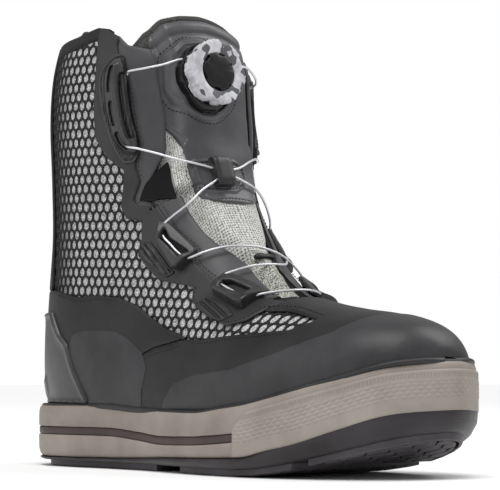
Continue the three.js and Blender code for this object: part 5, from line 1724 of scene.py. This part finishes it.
def bevelled(piece, width, segments=3, angle=30.0):
    choose(piece)
    edge = piece.modifiers.new("edges", "BEVEL")
    edge.width = width * MM
    edge.segments = segments
    edge.limit_method = "ANGLE"
    edge.angle_limit = math.radians(angle)
    bpy.ops.object.modifier_apply(modifier=edge.name)
    bpy.ops.object.shade_smooth_by_angle(angle=math.radians(40))


def dial_rubber():
    """Light grey grip with darker sharp-edged patches."""
    finish, nodes, links, shader, where = fabric_nodes("dial_rubber", 0.5)
    cells = nodes.new("ShaderNodeTexVoronoi")
    cells.inputs["Scale"].default_value = 210
    cells.inputs["Randomness"].default_value = 1.0
    links.new(where, cells.inputs["Vector"])
    split = nodes.new("ShaderNodeSeparateColor")
    links.new(cells.outputs["Color"], split.inputs["Color"])
    patch = nodes.new("ShaderNodeMath")
    patch.operation = "GREATER_THAN"
    apart = nodes.new("ShaderNodeSeparateXYZ")
    links.new(where, apart.inputs["Vector"])
    inner = nodes.new("ShaderNodeMapRange")
    inner.inputs["From Min"].default_value = float(dial_seat[0][0]) * MM + 0.004
    inner.inputs["From Max"].default_value = float(dial_seat[0][0]) * MM - 0.006
    inner.inputs["To Min"].default_value = 0.86
    inner.inputs["To Max"].default_value = 0.52
    links.new(apart.outputs["X"], inner.inputs["Value"])
    links.new(split.outputs["Red"], patch.inputs[0])
    links.new(inner.outputs["Result"], patch.inputs[1])
    cloud = noise(nodes, links, where, 180, 4)
    plain = ramp(nodes, links, cloud, 0.35, 0.65, linear(158, 158, 163), linear(200, 200, 204))
    patched = mixed(nodes, links, patch.outputs["Value"], plain, linear(78, 78, 82))
    links.new(patched, shader.inputs["Base Color"])
    bump(nodes, links, shader, noise(nodes, links, where, 900, 2), 0.5, 0.0001)
    return finish


gloss_black = synthetic("gloss_black", (14, 14, 15), (20, 20, 21), 0.22, grain=500.0, grain_depth=0.00003)
cap_black = synthetic("cap_black", (16, 16, 17), (22, 22, 23), 0.38, grain=700.0, grain_depth=0.00005)
KNOB_LOW, KNOB_TOP, KNOB_RADIUS, KNOB_BORE = 4.3, 13.5, 18.9, 11.0
NOTCHES = [math.radians(90 + 60 * k - 14) for k in range(6)]


def from_notch(x, y):
    angle = math.atan2(y, x)
    return min(abs((angle - notch + math.pi) % (2 * math.pi) - math.pi) for notch in NOTCHES)


def build_dial():
    knob = cylinder("dial_grip_ring", 144, KNOB_RADIUS, KNOB_TOP - KNOB_LOW, (KNOB_TOP + KNOB_LOW) / 2)
    pick(knob, "FACE", lambda x, y, z: z > KNOB_TOP - 0.1)
    bpy.ops.mesh.inset(thickness=1.7 * MM)
    lift(0.5)
    bpy.ops.mesh.inset(thickness=(KNOB_RADIUS - 1.7 - KNOB_BORE - 0.5) * MM)
    lift(-0.8)
    bpy.ops.mesh.inset(thickness=0.5 * MM)
    lift(-0.5)
    extrude(-3.0)
    # Deep notches, then fine teeth between them
    outer_wall = KNOB_RADIUS - 0.2
    for reach, share in ((0.20, 0.975), (0.15, 0.965), (0.09, 0.975)):
        pick(knob, "VERT", lambda x, y, z: math.hypot(x, y) > 16.4 and from_notch(x, y) < reach)
        stretch(share, share, 1)
    pick(knob, "VERT", lambda x, y, z: math.hypot(x, y) > outer_wall and from_notch(x, y) > 0.17
         and round(math.degrees(math.atan2(y, x)) / 2.5) % 4 in (0, 1))
    stretch(0.984, 0.984, 1)
    pick(knob, "VERT", lambda x, y, z: z < KNOB_LOW + 0.2)
    stretch(0.95, 0.95, 1)
    bpy.ops.mesh.select_all(action="SELECT")
    bpy.ops.mesh.normals_make_consistent(inside=False)
    bpy.ops.object.mode_set(mode="OBJECT")
    bevelled(knob, 0.45, 2, 28)
    finished(seated(knob, dial_seat, 1.6), dial_rubber(), "dial_grip", "dial_knob")

    cap = cylinder("dial_cap_disc", 96, KNOB_BORE - 0.35, 3.4, KNOB_TOP - 1.5)
    pick(cap, "VERT", lambda x, y, z: from_notch(x, y) < 0.2)
    stretch(0.9, 0.9, 1)
    pick(cap, "FACE", lambda x, y, z: z > KNOB_TOP)
    for share, rise in ((0.86, 0.28), (0.68, 0.22), (0.45, 0.1)):
        extrude(rise)
        stretch(share, share, 1)
    bpy.ops.object.mode_set(mode="OBJECT")
    bevelled(cap, 0.4, 3, 50)
    finished(seated(cap, dial_seat, 1.6), cap_black, "dial_plastic", "dial_cap")

    base = cylinder("dial_housing", 96, 19.0, 6.4, 0.8)
    six = [math.radians(30 + 60 * k) for k in range(6)]
    pick(base, "VERT", lambda x, y, z: min(
        abs((math.atan2(y, x) - a + math.pi) % (2 * math.pi) - math.pi) for a in six) < 0.24)
    stretch(0.965, 0.965, 1)
    pick(base, "VERT", lambda x, y, z: y < -14)
    stretch(0.92, 1.17, 1)
    pick(base, "FACE", lambda x, y, z: z > 3.9)
    for share, rise in ((0.95, 0.0), (0.98, -0.9), (0.93, 0.9)):
        extrude(rise)
        stretch(share, share, 1)
    bpy.ops.object.mode_set(mode="OBJECT")
    bevelled(base, 0.5, 3, 35)
    finished(seated(base, dial_seat, 1.2), gloss_black, "dial_plastic", "dial_base")


build_dial()


# Saddle of the cable on the tongue
def build_centre_guide():
    saddle = block("centre_saddle", 12, 17, 8.4, 2.2, 7)
    pick(saddle, "VERT", lambda x, y, z: z > 5 and abs(y) > 7)
    stretch(0.9, 0.95, 0.86)
    pick(saddle, "VERT", lambda x, y, z: z > 5 and abs(x) > 5)
    lift(-0.7)
    pick(saddle, "VERT", lambda x, y, z: abs(z - 2.2) < 1.4 and abs(x) > 5 and abs(y) > 2.5 and abs(y) < 6.5)
    stretch(0.72, 1, 1)
    bpy.ops.object.mode_set(mode="OBJECT")
    bevelled(saddle, 1.3, 4, 50)
    choose(saddle)
    soften = saddle.modifiers.new("soften", "SUBSURF")
    soften.levels = 1
    soften.render_levels = 1
    bpy.ops.object.modifier_apply(modifier=soften.name)
    finished(seated(saddle, centre_seat, 2.4), guide_plastic, "guide_plastic", "tongue_guide")


build_centre_guide()


# Textile tab that holds the cable low on the tongue, with a bar across its top edge
TAB_SECTIONS = (8.05, 10.25)
TAB_HALF = 8.4


def tab_top(section, turn):
    near = swell(section, 9.77, 0.30)
    return tongue_offset(section, turn) + 1.1 + 1.6 * near


def build_tab():
    s, x = np.meshgrid(np.linspace(*TAB_SECTIONS, 70), np.linspace(-TAB_HALF, TAB_HALF, 41), indexing="ij")
    turn = 1.0 + x / HALF_TURN_WIDTH
    edge = np.clip(np.minimum(TAB_HALF - np.abs(x), (TAB_SECTIONS[1] - s) * 9) / 0.9, 0, 1)
    round_off = np.sqrt(1 - (1 - edge) ** 2)
    top = form_point(s, turn, tab_top(s, turn) - 0.8 * (1 - round_off))
    bottom = form_point(s, turn, tab_top(s, turn) - 1.2)
    strap = between_faces("tab_strap", top[:, ::-1], bottom[:, ::-1], 50)
    keep_values(strap, "across", np.tile(np.abs(x[:, ::-1]).ravel() / TAB_HALF, 2))
    finish, nodes, links, shader, where = fabric_nodes("tab_textile", 0.95)
    fleck = noise(nodes, links, where, 1300, 2, 0.6)
    light = ramp(nodes, links, fleck, 0.42, 0.60, linear(86, 88, 82), linear(190, 191, 182))
    edge = ramp(nodes, links, kept_value(nodes, "across"), 0.72, 0.80, light, linear(34, 34, 34))
    links.new(edge, shader.inputs["Base Color"])
    bump(nodes, links, shader, fleck, 0.9, 0.0006)
    finished(strap, finish, "webbing", "webbing_tab")

    bar = block("tab_bar", 13.5, 2.6, 2.8, 0.0, 5)
    pick(bar, "VERT", lambda x, y, z: abs(x) > 6)
    lift(-0.5)
    bpy.ops.object.mode_set(mode="OBJECT")
    bevelled(bar, 0.6, 3, 50)
    seat = seat_frame(10.22, 1.0, tongue_offset(10.22, 1.0))
    finished(seated(bar, seat, 1.7), cap_black, "webbing")


build_tab()


# Steel cable: one strand through every guide
CABLE_RADIUS = 0.68
CABLE_ROUTE = [
    (19.55, 0.925, 3.4), (19.76, 0.885, 3.9), (19.66, 0.820, 3.0), (19.68, 0.750, 2.6), (19.76, 0.694, 1.8),
    (19.74, 0.680, -0.6), (19.45, 0.650, -1.2), (18.90, 0.630, -1.2), (18.30, 0.628, -1.2), (17.75, 0.636, -1.1),
    (17.42, 0.646, 0.4), (17.22, 0.662, 2.6), (16.85, 0.696, 2.8), (16.05, 0.765, 2.2), (15.26, 0.829, 2.3),
    (14.60, 0.893, 2.8), (14.18, 0.945, 3.2), (13.90, 0.985, 3.0), (13.56, 1.021, 3.2), (13.40, 1.090, 2.4),
    (13.25, 1.170, 2.0), (13.10, 1.235, 2.6), (13.00, 1.268, 1.8), (12.66, 1.283, 2.9), (12.24, 1.276, 3.1),
    (11.84, 1.271, 2.9), (11.42, 1.248, 1.8), (10.95, 1.180, 1.5), (10.40, 1.118, 1.4), (9.95, 1.070, 1.6),
    (9.80, 1.000, 1.6), (9.78, 0.933, 1.7), (9.83, 0.867, 2.0), (9.95, 0.808, 2.4), (9.92, 0.778, 1.6),
    (9.84, 0.776, 3.2), (9.48, 0.784, 3.6), (9.08, 0.792, 3.4), (8.70, 0.799, 1.9), (8.42, 0.808, 2.0),
    (8.22, 0.855, 1.8), (7.98, 0.915, 1.7), (7.90, 0.980, 1.7), (7.98, 1.050, 1.8), (8.25, 1.120, 1.8),
    (8.60, 1.180, 1.8), (9.08, 1.208, 3.4), (9.48, 1.216, 3.6), (9.84, 1.214, 3.2), (9.92, 1.200, 2.2),
    (10.10, 1.150, 2.4), (10.36, 1.075, 2.4), (10.58, 1.000, 2.0), (10.72, 0.930, 1.7), (10.88, 0.868, 1.7),
    (11.10, 0.802, 1.9), (11.32, 0.753, 1.9), (11.52, 0.738, 1.8), (11.84, 0.729, 2.9), (12.24, 0.724, 3.1),
    (12.66, 0.717, 2.9), (12.94, 0.720, 1.6), (13.05, 0.742, 2.3), (13.01, 0.838, 2.2), (13.26, 0.895, 2.2),
    (13.50, 0.950, 3.6), (13.90, 0.988, 4.4), (14.20, 1.021, 3.6), (14.90, 1.090, 2.0),
    (15.60, 1.165, 1.4), (16.20, 1.245, 1.4), (16.70, 1.295, 2.4), (16.95, 1.317, 2.6), (17.25, 1.338, 0.6),
    (17.70, 1.360, -1.0), (18.30, 1.372, -1.2), (18.90, 1.370, -1.2), (19.45, 1.350, -1.2), (19.74, 1.320, -0.6),
    (19.76, 1.306, 1.8), (19.68, 1.250, 2.4), (19.66, 1.170, 2.8), (19.74, 1.090, 3.8), (19.55, 1.020, 3.4),
]


def swept(name, path, radius, sides):
    """A closed round bar along a path."""
    ahead = unit(np.gradient(path, axis=0))
    frame = np.zeros_like(path)
    frame[0] = unit(np.cross(ahead[0], [0.3, 0.2, 0.9]))
    for k in range(1, len(path)):
        frame[k] = unit(frame[k - 1] - ahead[k] * (frame[k - 1] @ ahead[k]))
    other = np.cross(ahead, frame)
    angle = np.arange(sides) * 2 * math.pi / sides
    points = path[:, None] + radius * (
        frame[:, None] * np.cos(angle)[None, :, None] + other[:, None] * np.sin(angle)[None, :, None])
    faces = []
    for level in range(len(path) - 1):
        for k in range(sides):
            a, b = level * sides + k, level * sides + (k + 1) % sides
            faces.append((a, b, b + sides, a + sides))
    faces.append(tuple(range(sides))[::-1])
    faces.append(tuple((len(path) - 1) * sides + k for k in range(sides)))
    piece = new_piece(name, points.reshape(-1, 3), faces, 60)
    keep_values(piece, "run", np.repeat(np.arange(len(path)) * 1.0, sides))
    keep_values(piece, "round", np.tile(angle / (2 * math.pi), len(path)))
    return piece


def cable_steel():
    """Fine stranded steel under a clear jacket."""
    finish, nodes, links, shader, where = fabric_nodes("cable_steel", 0.3)
    run = nodes.new("ShaderNodeAttribute")
    run.attribute_name = "run"
    around = nodes.new("ShaderNodeAttribute")
    around.attribute_name = "round"
    twist = nodes.new("ShaderNodeMath")
    twist.operation = "MULTIPLY_ADD"
    twist.inputs[1].default_value = 6.0
    links.new(around.outputs["Fac"], twist.inputs[0])
    links.new(run.outputs["Fac"], twist.inputs[2])
    wave = nodes.new("ShaderNodeMath")
    wave.operation = "FRACT"
    links.new(twist.outputs["Value"], wave.inputs[0])
    links.new(ramp(nodes, links, wave.outputs["Value"], 0.0, 1.0, linear(186, 186, 190), linear(224, 224, 228)),
              shader.inputs["Base Color"])
    bump(nodes, links, shader, wave.outputs["Value"], 0.4, 0.0001)
    shader.inputs["Metallic"].default_value = 0.55
    return finish


def build_cable():
    route = np.array(CABLE_ROUTE)
    places = form_point(route[:, 0], route[:, 1], route[:, 2])
    cable = swept("cable_loop", curved(places, 1.2), CABLE_RADIUS, 8)
    finished(cable, cable_steel(), "lace_steel", "lace")


build_cable()


# Stitching
def beside(line, distance):
    """An open line in side view moved to its left by a distance."""
    line = curved(line, 1.5)
    run = np.gradient(line, axis=0)
    left = unit(np.stack([-run[:, 1], run[:, 0]], -1))
    return line + left * distance


def tongue_path(seat, start, flat):
    """Section and turn of places given in the plane of a seat on the tongue."""
    flat = np.asarray(flat, float)
    s = np.full(len(flat), float(start[0]))
    t = np.full(len(flat), float(start[1]))

    def seen(s, t):
        return flat_places(form_point(s, t, tongue_offset(s, t)), seat)[:, 1:]

    for _ in range(25):
        here = seen(s, t)
        by_s = (seen(s + 0.02, t) - here) / 0.02
        by_t = (seen(s, t + 0.002) - here) / 0.002
        gap = flat - here
        det = by_s[:, 0] * by_t[:, 1] - by_s[:, 1] * by_t[:, 0]
        det = np.where(np.abs(det) < 1, np.sign(det) + (det == 0), det)
        s = s + np.clip((gap[:, 0] * by_t[:, 1] - gap[:, 1] * by_t[:, 0]) / det, -0.4, 0.4)
        t = t + np.clip((by_s[:, 0] * gap[:, 1] - by_s[:, 1] * gap[:, 0]) / det, -0.03, 0.03)
    return s, t


def build_stitches():
    seams = Stitches()
    front = placed(EYESTAY_FRONT)
    seams.side_row(beside([(front[1][0], front[1][1] - 5)] + front[2:8], 1.8), 0.15)
    seams.side_row(beside(front[9:17], 1.8), 0.15)
    seams.side_row(beside(TOP_PAD[:12], 3.2), 0.45)
    seam = placed(RAND_SEAM)
    seams.side_row(beside(seam[1:], -1.3), 0.1)
    seams.side_row(beside(seam[1:], -3.4), 0.1)
    low = placed(SKIN_LOW)
    seams.side_row(beside(low[1:], -2.2), 0.1)
    skin_front = placed(SKIN_FRONT)
    seams.side_row(beside(skin_front[14:], 2.0), 0.1)
    seams.piece("seam_stitches", thread_black, "overlay_synthetic")

    tongue = Stitches()
    for seat, start, outline, distance in (
        (dial_seat, (DIAL_SECTION, DIAL_TURN), DIAL_PAD, 2.6),
        (centre_seat, (GUIDE_SECTION, GUIDE_TURN), CENTRE_PAD, -1.9),
    ):
        flat = curved(grown(outline, distance), 0.8, closed=True)
        s, t = tongue_path(seat, start, flat)
        kept = (np.abs(1 - t) < 0.3) & (s < 21.2)
        s, t = s[kept], t[kept]
        tongue.row(form_point(s, t, panel_top(s, t) + 0.12), form_normal(s, t))
    across = np.linspace(-0.9, 0.9, 80)
    edge = np.full(80, 2.4)
    s = PANEL_LEFT[0, 0] + edge / SECTION_LENGTH
    turn = tongue_turn(s, across * np.interp(s, PANEL_LEFT[:, 0], PANEL_LEFT[:, 1]))
    tongue.row(form_point(s, turn, panel_top(s, turn, edge) + 0.1), form_normal(s, turn))
    tongue.piece("tongue_stitches", thread_black, "tongue_synthetic")


build_stitches()


# Pull loop: webbing from the back panel, over the collar and down inside
def build_pull_loop():
    sections = np.array([20.15, 20.6, 21.0, 21.5, 22.0])
    outside = form_point(sections, 0 * sections, 0 * sections + 1.2)[:, 1:]
    inside = form_point(sections, 0 * sections, 0 * sections + UPPER_IN - 1.9)[:, 1:][::-1]
    back_y, back_z = outside[-1]
    front_y = inside[0, 0]
    wide = front_y - back_y
    over = [(back_y - 0.4, back_z + 5), (back_y + 0.18 * wide, back_z + 9.4), (back_y + 0.5 * wide, back_z + 10.6),
            (back_y + 0.82 * wide, back_z + 9.4), (front_y + 0.4, back_z + 5)]
    path = curved(np.vstack([outside, over, inside]), 0.8)
    run = unit(np.gradient(path, axis=0))
    out = np.stack([-run[:, 1], run[:, 0]], -1)
    across = np.linspace(-1, 1, 29)
    edge = np.sqrt(np.clip(1 - np.clip((np.abs(across) - 0.93) / 0.07, 0, 1) ** 2, 0, 1))
    rib = 0.12 * np.cos(across * math.pi * 7)
    half = 11.0 - 0.8 * smooth(path[:, 1], back_z + 2, back_z + 10)

    def face(side):
        flat = path[:, None] + out[:, None] * (side * (0.75 * edge + rib * (edge > 0.9)))[None, :, None]
        x = half[:, None] * across[None]
        return np.concatenate([x[..., None], flat], -1)

    loop = between_faces("pull_loop_strap", face(1), face(-1), 60)
    finish, nodes, links, shader, where = fabric_nodes("webbing_black", 0.85)
    weave = noise(nodes, links, where, 1500, 2)
    links.new(ramp(nodes, links, weave, 0.4, 0.6, linear(24, 24, 25), linear(44, 44, 45)),
              shader.inputs["Base Color"])
    bump(nodes, links, shader, weave, 0.8, 0.0003)
    shader.inputs["Sheen Weight"].default_value = 0.15
    finished(loop, finish, "webbing", "pull_loop")


build_pull_loop()


# Insole: the foot bed seen through the collar
def build_insole():
    y = np.linspace(along(0.03), along(0.965), 110)
    across = np.linspace(-1, 1, 41)
    section = np.linspace(0.3, 16, 400)
    turns = np.linspace(0.02, 0.98, 200)
    grid_s, grid_t = np.meshgrid(section, turns, indexing="ij")
    wall = {}
    for name, sign in (("outer", 1), ("inner", -1)):
        turn = grid_t if sign > 0 else 2 - grid_t
        points = form_point(grid_s, turn, 0 * grid_s + UPPER_IN - 0.5).reshape(-1, 3)
        level = np.abs(points[:, 2] - sole_height(points[:, 1], BED) - 4.0) < 1.6
        kept = points[level]
        order = np.argsort(kept[:, 1])
        wall[name] = np.interp(y, kept[order, 1], kept[order, 0])
    half = (wall["outer"] - wall["inner"]) / 2
    centre = (wall["outer"] + wall["inner"]) / 2
    x = centre[:, None] + across[None] * half[:, None]
    dish = (0.9 * across ** 2)[None] * np.ones_like(x)
    bed = sole_height(y, BED)[:, None]
    edge = 1.2 * np.sqrt(np.clip(1 - np.clip((np.abs(across) - 0.94) / 0.06, 0, 1) ** 2, 0, 1))[None]
    top = np.stack([x, np.broadcast_to(y[:, None], x.shape), bed + 2.9 + edge + dish], -1)
    low = np.stack([x, np.broadcast_to(y[:, None], x.shape), bed + 0.4 + 0 * x], -1)
    sole = between_faces("insole_bed", top, low, 60)
    finish, nodes, links, shader, where = fabric_nodes("insole_knit", 0.95)
    fleck = noise(nodes, links, where, 1200, 2)
    links.new(ramp(nodes, links, fleck, 0.4, 0.62, linear(44, 44, 46), linear(74, 74, 76)),
              shader.inputs["Base Color"])
    bump(nodes, links, shader, fleck, 0.7, 0.0004)
    finished(sole, finish, "insole_fabric", "insole")


build_insole()


# Camera, floor and light: the sensor in millimetres, the long lens in widths of the picture
SENSOR = 36
FOCAL_PIXELS = 2073.7
PICTURE_WIDTH = 500


def build_studio():
    bpy.ops.mesh.primitive_plane_add(size=30)
    floor = bpy.context.object
    floor.name = "floor"
    finish, *_, shader, _ = fabric_nodes("floor_paper", 0.9)
    shader.inputs["Base Color"].default_value = (0.9, 0.9, 0.9, 1)
    floor.data.materials.append(finish)

    camera_data = bpy.data.cameras.new("camera")
    camera = bpy.data.objects.new("camera", camera_data)
    bpy.context.scene.collection.objects.link(camera)
    camera_data.sensor_width = SENSOR
    camera_data.lens = FOCAL_PIXELS / PICTURE_WIDTH * SENSOR
    camera_data.clip_end = 60
    right = Vector((-0.743365, 0.668886, 0.0000541))
    upward = Vector((0.0433674, 0.0481155, 0.9978999))
    back = right.cross(upward)
    turned = Matrix((right, upward, back)).transposed().to_4x4()
    camera.matrix_world = Matrix.Translation(Vector((0.771254, 0.977179, 0.050506))) @ turned
    bpy.context.scene.camera = camera

    bpy.context.scene.view_settings.view_transform = "Standard"
    world = bpy.data.worlds.new("studio")
    bpy.context.scene.world = world
    world.use_nodes = True
    paper = world.node_tree.nodes["Background"]
    paper.inputs["Color"].default_value = (1, 1, 1, 1)
    ray = world.node_tree.nodes.new("ShaderNodeLightPath")
    spread = world.node_tree.nodes.new("ShaderNodeMapRange")
    spread.inputs["To Min"].default_value = 0.42
    spread.inputs["To Max"].default_value = 1.0
    world.node_tree.links.new(ray.outputs["Is Camera Ray"], spread.inputs["Value"])
    world.node_tree.links.new(spread.outputs["Result"], paper.inputs["Strength"])
    for name, kind, place, size, power in (
        ("key", "SUN", (0.45, 0.5, 1.5), math.radians(38), 2.3),
        ("fill", "AREA", (1.7, -0.5, 0.9), 1.3, 10),
        ("rim", "AREA", (-1.2, 0.6, 1.4), 0.9, 12),
    ):
        light = bpy.data.lights.new(name, kind)
        if kind == "SUN":
            light.angle = size
        else:
            light.size = size
        light.energy = power
        lamp = bpy.data.objects.new(name, light)
        lamp.location = place
        lamp.rotation_euler = (Vector((0, 0.1, 0.12)) - Vector(place)).to_track_quat("-Z", "Y").to_euler()
        bpy.context.scene.collection.objects.link(lamp)


build_studio()
